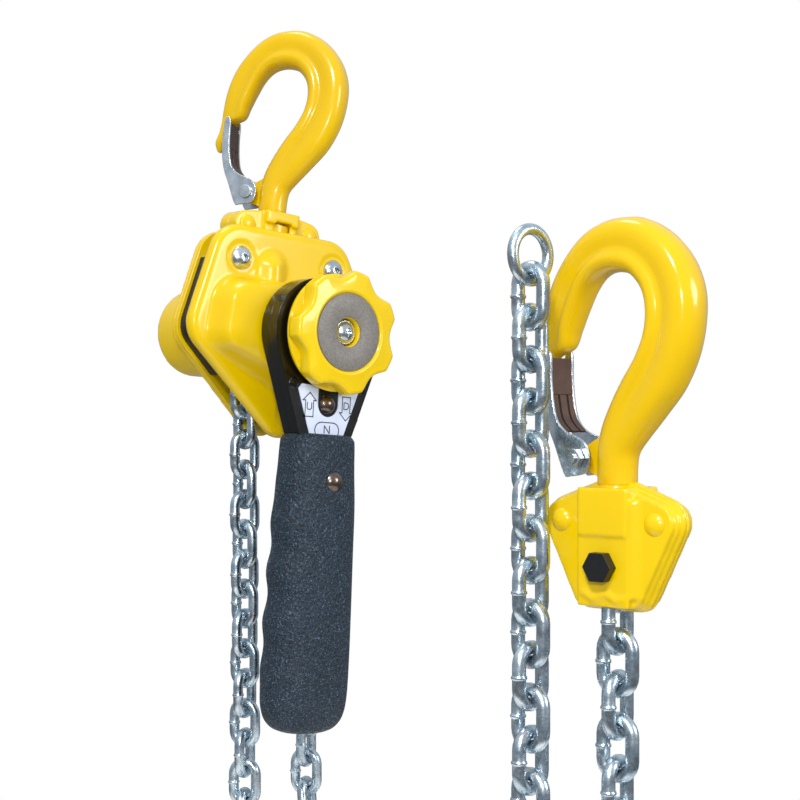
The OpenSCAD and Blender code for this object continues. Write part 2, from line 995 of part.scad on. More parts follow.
// The selector's pivot rivet and the rivet through the grip
module lever_rivets() {
    color(brown)
        at_shaft() {
            translate([0, -selector_drop]) {
                disc(3, head_back - 0.8, head_front + touch);
                dome(5.8, 3.4, head_front);
                disc(4.6, head_back - 0.8, head_back);
            }
            translate([0, -grip_rivet_drop]) {
                disc(3, arm_mid - grip_rivet_seat - touch, arm_mid + grip_rivet_seat + touch);
                dome(grip_rivet_r, 3, arm_mid + grip_rivet_seat);
                disc(grip_rivet_r, arm_mid - grip_rivet_seat - 1.4, arm_mid - grip_rivet_seat);
            }
        }
}

label_t = 0.8;
label_cut_r = 7.4;

// Plate with the up, down and neutral marks, cut out round the selector's rivet
module label_plate() {
    color(pale)
        at_shaft()
            translate([0, 0, head_front])
                linear_extrude(label_t)
                    polygon(concat(
                        [
                            for (a = [360:-15:180])
                                [0, -selector_drop] + polar(label_cut_r, a)
                        ],
                        [[-label_cut_r, -31.5], [-19.5, -31], [-22, -34], [-12.5, -59.5]],
                        [[12.5, -59.5], [22, -34], [19.5, -31], [label_cut_r, -31.5]]
                    ));
}

// Rows of the grip: drop from the shaft, half width, half depth, share of the finger waves
grip_rows = [
    [0, 0.76, 0.86, 0],
    [0.02, 0.82, 0.92, 0],
    [0.12, 0.86, 0.95, 0],
    [0.24, 0.91, 1, 0.4],
    [0.4, 0.94, 1, 1],
    [0.6, 0.98, 1, 1],
    [0.76, 1, 1, 0.6],
    [0.88, 0.99, 0.98, 0],
    [0.94, 0.92, 0.9, 0],
    [0.975, 0.74, 0.74, 0],
    [0.995, 0.46, 0.46, 0]
];

// Half depth of the grip at a drop from the shaft, near its upper end
function grip_half_depth(drop) = grip_depth/2*(0.95 + 0.05*min(1, (drop - grip_top)/grip_length/0.24));

wave_depth = 1.6;
waves = 4;

// One level ring of the grip; its left side carries the finger waves
function grip_ring(row) =
    let (
        y = -grip_top - row[0]*grip_length,
        a = grip_w/2*row[1],
        b = grip_depth/2*row[2],
        wave = wave_depth*row[3]*cos(360*waves*(row[0] - 0.12)/0.68)
    )
    [
        for (k = [0:23])
            let (
                t = 15*k,
                left = max(0, -cos(t)),
                w = a + wave*left
            )
            [
                w*sign(cos(t))*pow(abs(cos(t)), 0.86),
                y,
                arm_mid + b*sign(sin(t))*pow(abs(sin(t)), 0.86)
            ]
    ];

module grip() {
    color(rubber)
        at_shaft()
            difference() {
                skin([for (row = refined(grip_rows, 4)) grip_ring(row)]);
                translate([0, 0, head_back - 0.1])
                    linear_extrude(head_t + 0.2)
                        lever_outline(-0.1);
                translate([0, -grip_rivet_drop, 0]) {
                    disc(3 + fit, head_back - 20, head_front + 20);
                    disc(grip_rivet_r + 0.1, arm_mid + grip_rivet_seat, head_front + 20);
                    disc(grip_rivet_r + 0.1, head_back - 20, arm_mid - grip_rivet_seat);
                }
            }
}

// Two-nosed pawl with its thumb piece; it rests in the neutral place
module selector_pawl() {
    nose_reach = selector_drop - 17.4;
    color(brown)
        at_shaft()
            translate([0, -selector_drop, arm_mid - 3])
                difference() {
                    linear_extrude(6)
                        difference() {
                            union() {
                                circle(r = 6, $fn = round_fn);
                                polygon([
                                    [-2.6, -4.4], [2.4, -5], [26, -13], [28.5, -7], [6, 1.4],
                                    polar(nose_reach - 1.5, 56),
                                    polar(nose_reach, 60.5),
                                    polar(nose_reach, 64),
                                    polar(9, 76),
                                    polar(9, 104),
                                    polar(nose_reach, 116),
                                    polar(nose_reach, 119.5),
                                    polar(nose_reach - 1.5, 124),
                                    [-5, 1.4]
                                ]);
                            }
                            circle(r = 3 + fit, $fn = round_fn);
                        }
                    translate([23.5, -30, 4.6])
                        cube([12, 30, 3]);
                }
}

// ---------- hand wheel ----------

lobe_steps = 16;
// Share of the rim that the hollows take
hollow_share = 0.7;

// How deep the rim lies at an angle from the middle of a lobe, 0 to 1
function hollow(a) =
    let (from_middle = abs(a%(360/lobes) - 180/lobes))
    max(0, 1 - pow(from_middle/(180/lobes*hollow_share), 2));

// One lobe points straight to the left
module wheel_outline(inset) {
    polygon([
        for (i = [0:lobes*lobe_steps - 1])
            let (a = 360*i/(lobes*lobe_steps))
            polar(wheel_r - inset - lobe_depth*hollow(a), a + 180)
    ]);
}

screw_recess_r = 8;

module hand_wheel() {
    bevels = [[1.6, 0], [0.4, 1.2], [0, 2.6]];
    color(yellow)
        at_shaft()
            difference() {
                union() {
                    for (b = bevels)
                        translate([0, 0, wheel_back + b[1]])
                            linear_extrude(wheel_t - 2*b[1])
                                wheel_outline(b[0]);
                    // Round foot of the rim
                    disc(wheel_r - 2, wheel_back, wheel_back + 3);
                    disc(wheel_r - 2.6, wheel_back + 2.9, wheel_back + 3.8);
                }
                disc(shaft_nose_r + fit, wheel_back - 1, wheel_front);
                disc(screw_recess_r, wheel_back + wheel_floor, wheel_front + 1);
                disc(wheel_plate_r + fit, wheel_front - 1.3, wheel_front + 1);
                tube(wheel_r - 10, shaft_nose_r + 5, wheel_back - 1, wheel_back + 2);
            }
}

module wheel_plate() {
    color(grey)
        at_shaft()
            tube(wheel_plate_r, screw_recess_r + 0.6, wheel_front - 1.3, wheel_front - 0.3);
}

// ---------- hooks ----------

// Rows across the hook's bar: inner edge x, z; outer edge x, z; half thickness
hook_rows = [
    [-8.4, -89.6, 8.4, -89.6, 8.4],
    [-8.4, -82, 8.6, -82.5, 8.4],
    [-8, -74.5, 9.8, -76.5, 8.6],
    [-6, -66, 14.5, -70.5, 8.8],
    [-1.5, -56.5, 23, -61, 9],
    [4.5, -46.5, 32.5, -49.5, 9.3],
    [11, -37.5, 39, -35.5, 9.7],
    [16, -28, 41.7, -21, 10],
    [17.6, -18, 41, -7.5, 10.2],
    [15.5, -9, 35.5, 5.5, 10.2],
    [10, -2.6, 25.5, 16, 10.2],
    [4, -0.4, 12.5, 22.3, 10],
    [-3, -0.3, -2, 22.3, 9.8],
    [-9, -2.6, -13.5, 17.5, 9.3],
    [-14, -8.2, -23.5, 8.5, 8.8],
    [-18, -16.5, -31.5, -3, 8.2],
    [-21.5, -25, -36, -15.5, 7.5],
    [-24.2, -32, -38, -27, 6.2],
    [-32.2, -36, -38.6, -35, 5],
    [-32.4, -42, -39.8, -41, 4.7],
    [-35, -48, -41.8, -47, 4.2],
    [-37.2, -52.3, -41, -51, 2.4]
];
hook_sides = 14;

// One ring round the hook's bar, a little flattened on its faces
function hook_ring(row) = [
    for (k = [0:hook_sides - 1])
        let (
            t = 360*k/hook_sides,
            c = cos(t),
            s = sign(sin(t))*pow(abs(sin(t)), 0.8)
        )
        [
            (row[0] + row[2])/2 - c*(row[0] - row[2])/2,
            -row[4]*s,
            (row[1] + row[3])/2 - c*(row[1] - row[3])/2
        ]
];

latch_pivot = [-15.5, -79];
lug_half = 3;

// Forged hook with its round stem and collar
module hook_forging() {
    collar_top = hook_reach + 8;
    union() {
        skin([for (row = refined(hook_rows, 3)) hook_ring(row)]);
        translate([0, 0, -collar_top - collar_h])
            cylinder(r = stem_r, h = collar_top + collar_h - 85, $fn = round_fn);
        translate([0, 0, -collar_top - collar_h])
            cylinder(r = collar_r, h = collar_h, $fn = round_fn);
        difference() {
            translate([0, lug_half, 0])
                rotate([90, 0, 0])
                    linear_extrude(2*lug_half) {
                        translate(latch_pivot)
                            circle(r = 5.2, $fn = round_fn);
                        polygon([[-14.5, -74], [-4, -68], [-4, -88.5], [-13, -85]]);
                    }
            translate([latch_pivot[0], lug_half + 1, latch_pivot[1]])
                rotate([90, 0, 0])
                    cylinder(r = latch_pin_r + fit, h = 2*lug_half + 2, $fn = round_fn);
        }
    }
}

module top_hook() {
    color(yellow)
        swivel_top()
            hook_forging();
}

latch_outside = ear_gap + latch_sheet;

// Outline of the latch's side, x across and y up the hook
module latch_side() {
    polygon([
        [-33.4, -33.5], [-34.2, -45], [-33.6, -56], [-31.2, -66], [-27.6, -74], [-22.5, -86],
        [-19.5, -87], [-10.5, -85], [-8.7, -79], [-10, -74], [-14.4, -70.5], [-22, -67.5],
        [-26.6, -62.5], [-28.6, -55], [-29.6, -45], [-30, -33.5]
    ]);
}

// The latch's web on the side of the bowl, seen from the side
module latch_web() {
    polygon([
        [-29.9, -36], [-29.6, -45], [-28.6, -55], [-26.6, -62.5], [-22, -67.5],
        [-23.2, -68.6], [-28, -63.3], [-30.2, -55.4], [-31.2, -45.2], [-31.5, -36]
    ]);
}

// Pressed latch: a web with two narrow sides that widen to ears
module latch_pressing() {
    difference() {
        rotate([90, 0, 0]) {
            for (z = [ear_gap, -latch_outside])
                translate([0, 0, z])
                    linear_extrude(latch_sheet)
                        latch_side();
            translate([0, 0, -latch_outside])
                linear_extrude(2*latch_outside)
                    latch_web();
        }
        translate([latch_pivot[0], latch_outside + 1, latch_pivot[1]])
            rotate([90, 0, 0])
                cylinder(r = latch_pin_r + fit, h = 2*latch_outside + 2, $fn = round_fn);
    }
}

module top_latch() {
    color(zinc)
        swivel_top()
            latch_pressing();
}

// Pin across the lug and the latch's ears, with a head at each end
module latch_pin(head_r, nut) {
    translate([latch_pivot[0], 0, latch_pivot[1]])
        rotate([90, 0, 0]) {
            disc(latch_pin_r, -latch_outside - 1.4, latch_outside + (nut ? 4.6 : 1.4));
            disc(head_r, -latch_outside - 1.8, -latch_outside - 0.3);
            if (!nut)
                disc(head_r, latch_outside + 0.3, latch_outside + 1.6);
        }
}

module top_latch_pin() {
    color(zinc)
        swivel_top()
            latch_pin(4, false);
}

latch_coil = [latch_pin_r + 1, 0.7, 2.3, 2];

// Springs wound on the latch pin, one on each side of the lug
module latch_spring() {
    for (m = [0, 1])
        mirror([0, m, 0])
            translate([latch_pivot[0], -(lug_half + ear_gap)/2, latch_pivot[1]])
                rotate([90, 0, 0])
                    coil(latch_coil);
}

module top_latch_spring() {
    color(zinc)
        swivel_top()
            latch_spring();
}

module lower_latch() {
    color(zinc)
        swivel_lower()
            latch_pressing();
}

// Bolt with a hexagon nut that carries the lower latch
module lower_latch_bolt() {
    color(zinc)
        swivel_lower() {
            latch_pin(4, true);
            translate([latch_pivot[0], 0, latch_pivot[1]])
                rotate([90, 0, 0])
                    difference() {
                        hexagon(8, latch_outside + 0.4, latch_outside + 3.6);
                        disc(latch_pin_r + fit, latch_outside, latch_outside + 4);
                    }
        }
}

module lower_latch_spring() {
    color(zinc)
        swivel_lower()
            latch_spring();
}

module lower_hook() {
    color(yellow)
        swivel_lower()
            hook_forging();
}

// ---------- chain ----------

// One welded link standing on end in the XZ plane
module link() {
    straight = link_inside + chain_wire/2 - link_mid;
    for (s = [0, 180])
        rotate([0, s, 0])
            translate([0, 0, straight])
                rotate([90, 0, 0])
                    rotate_extrude(angle = 180, $fn = 32)
                        translate([link_mid, 0])
                            circle(d = chain_wire, $fn = 24);
    for (s = [-1, 1])
        translate([s*link_mid, 0, -straight])
            cylinder(d = chain_wire, h = 2*straight, $fn = 24);
}

// A run of chain hangs from the sheave, lies slack and rises again.
// Headings: 0 hangs down, 90 lies level, 180 rises.
fall_bend = 7;
rise_bend = 8;

function run_headings(slack, rise, lift) = concat(
    [for (i = [0:fall_links]) 0],
    [for (i = [1:fall_bend]) 90*i/(fall_bend + 1)],
    [for (i = [1:slack]) 90],
    [for (i = [1:rise_bend]) 90 + 90*pow(i/(rise_bend + 1), lift)],
    [for (i = [1:rise]) 180]
);

function half_step(heading) = [sin(heading), -cos(heading)]*chain_pitch/2;

// Way along and height of every link in a run
function run_places(headings) = [
    for (
        i = 0, p = [0, 0];
        i < len(headings);
        p = p + half_step(headings[i]) + half_step(headings[min(i + 1, len(headings) - 1)]),
        i = i + 1
    )
    p
];

function ramp(i, a, b) = min(1, max(0, (i - a)/(b - a)));

function nearest(angle, step) = angle - step*round(angle/step);

// Roll of link i: square to the sheave, leaning on the ground, square to its end
function run_roll(i, turn, slack, rise, end_turn) =
    let (
        last = fall_links + fall_bend + slack + rise_bend + rise,
        start_roll = -turn,
        ground_roll = nearest(45 - start_roll, 90),
        end_roll = nearest(turn - end_turn - 90*last - start_roll - ground_roll, 180)
    )
    start_roll + 90*i + ground_roll*ramp(i, fall_links - 9, fall_links)
        + end_roll*ramp(i, fall_links + fall_bend, last - rise);

module run(side, turn, slack, rise, lift, end_turn, first, last) {
    headings = run_headings(slack, rise, lift);
    places = run_places(headings);
    color(zinc)
        translate([shaft_x + side*sheave_reach, 0, shaft_z])
            rotate([0, 0, turn])
                for (i = [first:last])
                    translate([places[i][0], 0, places[i][1]])
                        rotate([0, -headings[i], 0])
                            rotate([0, 0, run_roll(i, turn, slack, rise, end_turn)])
                                link();
}

slack_first = fall_links + 1;
load_slack_last = fall_links + fall_bend + load_slack_links + rise_bend;
load_last = load_slack_last + load_rise_links;
tail_slack_last = fall_links + fall_bend + tail_slack_links + rise_bend;
tail_last = tail_slack_last + tail_rise_links;
ring_turn = -87;

module load_run(first, last) {
    run(1, load_run_turn, load_slack_links, load_rise_links, load_lift, lower_yoke_turn, first, last);
}

module tail_run(first, last) {
    run(-1, tail_run_turn, tail_slack_links, tail_rise_links, tail_lift, ring_turn, first, last);
}

module chain_over_sheave() {
    color(zinc)
        translate([shaft_x, 0, shaft_z])
            for (i = [0:4])
                rotate([0, -45*i, 0])
                    translate([i%2 == 0 ? sheave_reach : flat_link_r, 0, 0])
                        rotate([0, 0, 90*i])
                            link();
}

module load_chain_fall() {
    load_run(1, fall_links);
}

module load_chain_slack() {
    load_run(slack_first, load_slack_last);
}

module load_chain_rise() {
    load_run(load_slack_last + 1, load_last);
}

module tail_chain_fall() {
    tail_run(1, fall_links);
}

module tail_chain_slack() {
    tail_run(slack_first, tail_slack_last);
}

module tail_chain_rise() {
    tail_run(tail_slack_last + 1, tail_last);
}

load_end = run_places(run_headings(load_slack_links, load_rise_links, load_lift))[load_last];
tail_end = run_places(run_headings(tail_slack_links, tail_rise_links, tail_lift))[tail_last];

// Round ring that keeps the tail from running through the sheave
module tail_ring() {
    mid = (ring_d - ring_wire)/2;
    color(zinc)
        translate([
            shaft_x - sheave_reach + tail_end[0]*cos(tail_run_turn),
            tail_end[0]*sin(tail_run_turn),
            shaft_z + tail_end[1] + link_inside - ring_wire/2 - chain_play/2 + mid
        ])
            rotate([0, 0, ring_turn + 90])
                rotate([90, 0, 0])
                    rotate_extrude($fn = 48)
                        translate([mid, 0])
                            circle(d = ring_wire, $fn = 24);
}

// ---------- lower hook's place ----------

lower_x = shaft_x + sheave_reach + load_end[0]*cos(load_run_turn);
lower_y = load_end[0]*sin(load_run_turn);
lower_bolt_z = shaft_z + load_end[1] + link_inside - bolt_r - chain_play/2;

module at_lower() {
    translate([lower_x, lower_y, lower_bolt_z + bolt_drop])
        rotate([0, 0, lower_yoke_turn])
            children();
}

module swivel_lower() {
    at_lower()
        rotate([0, 0, lower_hook_turn - lower_yoke_turn])
            children();
}

// ---------- yokes ----------

collar_seat = hook_reach + 8;
rivet_head_r = 5;

// Space that the stem and its collar turn in
module swivel_space() {
    translate([0, 0, -collar_seat])
        cylinder(r = stem_r + fit, h = 20, $fn = round_fn);
    translate([0, 0, -collar_seat - collar_h - 0.15])
        cylinder(r = collar_r + 0.3, h = collar_h + 0.3, $fn = round_fn);
}

// A plate in the yoke's face, from -half to half in depth
module face_slab(half) {
    rotate([90, 0, 0])
        translate([0, 0, -half])
            linear_extrude(2*half)
                children();
}

module cross_hole(x, drop, r) {
    translate([x, 20, -drop])
        rotate([90, 0, 0])
            cylinder(r = r, h = 40, $fn = round_fn);
}

// Front (-1) or rear (+1) half of what is drawn
module half_of(side) {
    intersection() {
        children();
        translate([-50, side < 0 ? -40 : 0, -hook_reach - 70])
            cube([100, 40, 90]);
    }
}

top_wing_drop = hook_reach + 11;

module top_yoke_half(side) {
    inner_half = gap_half - 0.5;
    color(yellow)
        hang_top()
            half_of(side)
                difference() {
                    union() {
                        face_slab(yoke_wing)
                            rounded([
                                [yoke_rivet_x, -top_wing_drop, 8.5],
                                [8, -hook_reach - 3, 3],
                                [-8, -hook_reach - 3, 3],
                                [-yoke_rivet_x, -top_wing_drop, 8.5],
                                [-6, -pin_drop - 1, 10],
                                [6, -pin_drop - 1, 10]
                            ]);
                        face_slab(inner_half)
                            translate([-12, -pin_drop - 10])
                                square([24, pin_drop + 10 - hook_reach]);
                        face_slab(yoke_block)
                            translate([-12, -hook_reach - 8])
                                square([24, 8]);
                    }
                    swivel_space();
                    cross_hole(0, pin_drop, pin_r + fit);
                    for (s = [-1, 1])
                        cross_hole(s*yoke_rivet_x, top_wing_drop, yoke_rivet_r + 0.02);
                    translate([-5, -yoke_block - 1, -hook_reach - 12.5])
                        cube([12, 7.5, 6]);
                }
}

module top_yoke_front() {
    top_yoke_half(-1);
}

module top_yoke_rear() {
    top_yoke_half(1);
}

module yoke_rivets(drop) {
    for (s = [-1, 1])
        translate([s*yoke_rivet_x, 0, -drop])
            rotate([90, 0, 0]) {
                disc(yoke_rivet_r, -yoke_wing - touch, yoke_wing + touch);
                for (m = [0, 1])
                    mirror([0, 0, m])
                        dome(rivet_head_r, 2.2, yoke_wing);
            }
}

module top_yoke_rivets() {
    color(yellow)
        hang_top()
            yoke_rivets(top_wing_drop);
}

lower_wing_drop = hook_reach + 14.5;
yoke_foot = 17;

module lower_yoke_half(side) {
    slot_x = chain_width/2 + 0.5;
    slot_y = chain_wire/2 + 0.6;
    color(yellow)
        at_lower()
            half_of(side)
                difference() {
                    union() {
                        face_slab(yoke_wing)
                            rounded([
                                [yoke_rivet_x, -lower_wing_drop, 8.5],
                                [8, -hook_reach - 3, 3],
                                [-8, -hook_reach - 3, 3],
                                [-yoke_rivet_x, -lower_wing_drop, 8.5],
                                [-12, -bolt_drop - yoke_foot + 5, 5],
                                [12, -bolt_drop - yoke_foot + 5, 5]
                            ]);
                        face_slab(yoke_block)
                            translate([-12, -hook_reach - 20])
                                square([24, 20]);
                        face_slab(yoke_block - 1)
                            translate([-12.5, -bolt_drop - yoke_foot])
                                square([25, bolt_drop + yoke_foot - hook_reach - 1]);
                    }
                    swivel_space();
                    cross_hole(0, bolt_drop, bolt_r + fit);
                    for (s = [-1, 1])
                        cross_hole(s*yoke_rivet_x, lower_wing_drop, yoke_rivet_r + 0.02);
                    // Room for the last link and for the one below it
                    translate([-slot_x, -slot_y, -bolt_drop - yoke_foot - 1])
                        cube([2*slot_x, 2*slot_y, yoke_foot + 1 + bolt_r + chain_play + chain_wire]);
                    translate([-slot_y, -slot_x, -bolt_drop - yoke_foot - 1])
                        cube([2*slot_y, 2*slot_x, yoke_foot - 6]);
                }
}

module lower_yoke_front() {
    lower_yoke_half(-1);
}

module lower_yoke_rear() {
    lower_yoke_half(1);
}

module lower_yoke_rivets() {
    color(yellow)
        at_lower()
            yoke_rivets(lower_wing_drop);
}

// Black hexagon bolt through the yoke and the last link, with its nut
module chain_bolt() {
    face = yoke_block - 1;
    color(black)
        at_lower()
            translate([0, 0, -bolt_drop])
                rotate([90, 0, 0]) {
                    disc(bolt_r, -face - 6, face + touch);
                    hexagon(12, face, face + 5);
                    difference() {
                        hexagon(12, -face - 5, -face);
                        disc(bolt_r + fit, -face - 7, -face + 1);
                    }
                }
}

// ---------- the hoist ----------

echo(curl_gaps = [for (c = [latch_coil, pawl_coil, wheel_coil]) coil_gap(c)]);

front_plate();
rear_plate();
brake_cover();
gear_case();
stay_spacers();
body_bolts();
side_guards();
chain_guides();
chain_stripper();
sheave_bearings();
yoke_pin();
ratchet_disc();
pawl_pins();
pawl_springs();
upper_brake_pawl();
lower_brake_pawl();
drive_shaft();
brake_hub();
friction_discs();
change_gear();
retaining_ring();
wheel_screw();
wheel_spring();
hand_wheel();
wheel_plate();
load_sheave();
load_gear();
left_idler_gear();
right_idler_gear();
lever_rear_shell();
lever_front_shell();
lever_screws();
lever_rivets();
label_plate();
grip();
selector_pawl();
top_yoke_front();
top_yoke_rear();
top_yoke_rivets();
top_hook();
top_latch_pin();
top_latch_spring();
top_latch();
chain_over_sheave();
load_chain_fall();
load_chain_slack();
load_chain_rise();
tail_chain_fall();
tail_chain_slack();
tail_chain_rise();
tail_ring();
lower_yoke_front();
lower_yoke_rear();
lower_yoke_rivets();
chain_bolt();
lower_hook();
lower_latch_bolt();
lower_latch_spring();
lower_latch();
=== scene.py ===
"""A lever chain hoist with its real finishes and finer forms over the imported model.

The row frame is in metres: +Z up, X across the body, -Y to the front. A form is drawn in
millimetres in the frame of its own part, as the source draws it, and a matrix places it.
"""
import json
import math
import bmesh
import bpy
from mathutils import Matrix, Vector

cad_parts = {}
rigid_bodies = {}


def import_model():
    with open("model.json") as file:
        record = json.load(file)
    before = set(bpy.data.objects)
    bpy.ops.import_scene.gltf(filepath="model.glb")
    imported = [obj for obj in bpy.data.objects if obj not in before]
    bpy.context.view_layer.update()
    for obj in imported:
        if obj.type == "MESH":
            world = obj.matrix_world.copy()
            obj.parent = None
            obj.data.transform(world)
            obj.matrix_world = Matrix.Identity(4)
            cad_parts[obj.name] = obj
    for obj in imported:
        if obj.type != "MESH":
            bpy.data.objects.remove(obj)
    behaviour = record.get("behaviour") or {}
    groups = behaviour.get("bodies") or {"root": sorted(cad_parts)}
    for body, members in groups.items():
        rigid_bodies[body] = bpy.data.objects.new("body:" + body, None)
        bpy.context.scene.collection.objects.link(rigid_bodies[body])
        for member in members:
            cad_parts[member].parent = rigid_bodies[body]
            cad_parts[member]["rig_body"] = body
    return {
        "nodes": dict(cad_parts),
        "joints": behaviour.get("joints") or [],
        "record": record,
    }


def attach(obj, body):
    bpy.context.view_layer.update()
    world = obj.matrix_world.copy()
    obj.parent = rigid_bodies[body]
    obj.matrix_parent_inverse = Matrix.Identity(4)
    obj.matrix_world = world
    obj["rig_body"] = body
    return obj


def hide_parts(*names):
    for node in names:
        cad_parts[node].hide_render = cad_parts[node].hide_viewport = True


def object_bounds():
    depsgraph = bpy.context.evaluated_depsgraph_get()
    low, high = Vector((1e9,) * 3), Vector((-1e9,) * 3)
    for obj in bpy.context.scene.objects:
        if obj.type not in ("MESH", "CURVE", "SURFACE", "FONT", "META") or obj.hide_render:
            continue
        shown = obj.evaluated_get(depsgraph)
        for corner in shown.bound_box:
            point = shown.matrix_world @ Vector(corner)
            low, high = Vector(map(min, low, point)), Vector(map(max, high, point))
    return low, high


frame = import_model()
loaded_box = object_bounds()

MM = 0.001
NODES = frame["nodes"]
SLOT = {part["node"]: part["material_slot"] for part in frame["record"]["subparts"]}
HUB = {joint["name"]: Vector(joint["pos_m"]) for joint in frame["joints"] if "pos_m" in joint}


# ---------- places ----------


def placed(where, *turns):
    """Matrix from a part's own millimetres to the row frame."""
    place = Matrix.Translation(where)
    for axis, angle in turns:
        place = place @ Matrix.Rotation(math.radians(angle), 4, axis)
    return place @ Matrix.Scale(MM, 4)


HOOK_LEAN = 6.5
AT_SHAFT = placed(HUB["drive_turn"] * Vector((1, 0, 1)), ("Y", 4), ("X", 90))
AT_TOP_YOKE = placed((0, 0, 0), ("Y", HOOK_LEAN))
AT_TOP_HOOK = placed((0, 0, 0), ("Y", HOOK_LEAN), ("Z", -58))
AT_LOWER_YOKE = placed(HUB["lower_hook_swivel"], ("Z", -80))
AT_LOWER_HOOK = placed(HUB["lower_hook_swivel"], ("Z", -84))

# Stack along the shaft, forward of the chain's plane
PLATE_FRONT = 15
COVER_TOP = 39
HEAD_BACK = 40.5
HEAD_FRONT = 55.5
ARM_MID = (HEAD_BACK + HEAD_FRONT) / 2
WHEEL_BACK = HEAD_FRONT + 2.4
WHEEL_T = 15
WHEEL_FRONT = WHEEL_BACK + WHEEL_T


# ---------- shaders ----------


def tone(code):
    """Linear colour of an sRGB code such as "F0C010"."""
    parts = [int(code[i:i + 2], 16) / 255 for i in (0, 2, 4)]
    return [c / 12.92 if c <= 0.04045 else ((c + 0.055) / 1.055) ** 2.4 for c in parts] + [1.0]


def add(tree, kind, inputs=None, **settings):
    """A shader node with its settings, and its inputs as values or links."""
    made = tree.nodes.new("ShaderNode" + kind)
    for name, value in settings.items():
        setattr(made, name, value)
    for socket, value in (inputs or {}).items():
        if isinstance(value, bpy.types.NodeSocket):
            tree.links.new(value, made.inputs[socket])
        else:
            made.inputs[socket].default_value = value
    return made


def noise(tree, place, size, detail=3.0, roughness=0.5):
    """Cloudy pattern from 0 to 1 with patches of that size in metres."""
    inputs = {"Vector": place, "Scale": 1 / size, "Detail": detail, "Roughness": roughness}
    return add(tree, "TexNoise", inputs).outputs["Fac"]


def spread(tree, value, low, high, start, end):
    """value from low to high becomes start to end."""
    inputs = {"Value": value, "From Min": low, "From Max": high, "To Min": start, "To Max": end}
    return add(tree, "MapRange", inputs).outputs["Result"]


def uneven(tree, cloud, roughness, more):
    """Roughness that rises by up to more where the cloudy pattern is high."""
    return spread(tree, cloud, 0.3, 0.7, roughness, roughness + more)


def blend(tree, share, first, second):
    """Colour first where share is 0, second where it is 1."""
    inputs = {0: share, 6: first, 7: second}
    return add(tree, "Mix", inputs, data_type="RGBA").outputs[2]


def bump(tree, height, depth):
    """Normal of a surface raised by depth in metres where height is 1."""
    inputs = {"Height": height, "Distance": depth, "Strength": 1.0}
    return add(tree, "Bump", inputs).outputs["Normal"]


def finish(name, build):
    """Material whose surface is built from the Object coordinates."""
    made = bpy.data.materials.new(name)
    made.use_nodes = True
    tree = made.node_tree
    tree.nodes.clear()
    place = add(tree, "TexCoord").outputs["Object"]
    surface = add(tree, "BsdfPrincipled", build(tree, place)).outputs["BSDF"]
    add(tree, "OutputMaterial", {"Surface": surface})
    return made


def enamel(light, dark, peel=0.00002, roughness=0.2, scuffs=0.0):
    """Glossy sprayed enamel: soft changes of tone, a little orange peel, rare small scuffs."""
    def build(tree, place):
        base = blend(tree, noise(tree, place, 0.045), tone(light), tone(dark))
        rub = spread(tree, noise(tree, place, 0.0035, 6, 0.7), 0.71, 0.76, 0, scuffs)
        rub_place = spread(tree, noise(tree, place, 0.03, 2), 0.5, 0.62, 0, 1)
        worn = add(tree, "Math", {0: rub, 1: rub_place}, operation="MULTIPLY").outputs[0]
        return {
            "Base Color": blend(tree, worn, base, tone("6E6448")),
            "Roughness": uneven(tree, noise(tree, place, 0.012), roughness, 0.08),
            "Coat Weight": 0.3,
            "Coat Roughness": 0.05,
            "Specular IOR Level": 0.35,
            "Normal": bump(tree, noise(tree, place, 0.0016, 2), peel),
        }
    return build


def plating(light, dark, warm, size=0.006, roughness=0.3, metal=0.9):
    """Zinc plating: cloudy blue-grey with faint warm patches and a fine grain."""
    def build(tree, place):
        cloud = spread(tree, noise(tree, place, size, 4), 0.35, 0.65, 0, 1)
        tint = spread(tree, noise(tree, place, size * 0.8 + 0.001, 2), 0.52, 0.72, 0, 0.55)
        cold = blend(tree, cloud, tone(light), tone(dark))
        return {
            "Base Color": blend(tree, tint, cold, tone(warm)),
            "Metallic": metal,
            "Roughness": uneven(tree, noise(tree, place, 0.0015, 4), roughness, 0.16),
            "Normal": bump(tree, noise(tree, place, 0.0007, 3), 0.00003),
        }
    return build


def steel(light, dark, roughness=0.35, metal=1.0, grain=0.0012):
    """Bare or blued steel with a fine, uneven grain."""
    def build(tree, place):
        return {
            "Base Color": blend(tree, noise(tree, place, 0.004, 5, 0.6), tone(light), tone(dark)),
            "Metallic": metal,
            "Roughness": uneven(tree, noise(tree, place, grain, 4), roughness, 0.15),
            "Normal": bump(tree, noise(tree, place, grain, 3), 0.00002),
        }
    return build


def leather_rubber(tree, place):
    """Moulded rubber with a leather grain, shinier on its ridges, and light blue-grey spots painted as
    glints.
    """
    inputs = {"Vector": place, "Scale": 1 / 0.0026, "Randomness": 1.0}
    cells = add(tree, "TexVoronoi", inputs, feature="DISTANCE_TO_EDGE").outputs["Distance"]
    ridge = spread(tree, cells, 0.0, 0.28, 0, 1)
    # Light blue-grey spots painted as glints; the same spots also raise the bump slightly
    glint_spots = spread(tree, noise(tree, place, 0.0011, 5, 0.75), 0.54, 0.66, 0, 1)
    base = blend(tree, noise(tree, place, 0.02), tone("101A24"), tone("1C2A38"))
    height = add(tree, "Math", {0: ridge, 1: glint_spots}, operation="ADD").outputs[0]
    return {
        # Painted glints: the spots are coloured light blue-grey over the dark base
        "Base Color": blend(tree, glint_spots, base, tone("7297B6")),
        "Roughness": spread(tree, ridge, 0, 1, 0.55, 0.34),
        "Specular IOR Level": 0.45,
        "Normal": bump(tree, height, 0.0004),
    }


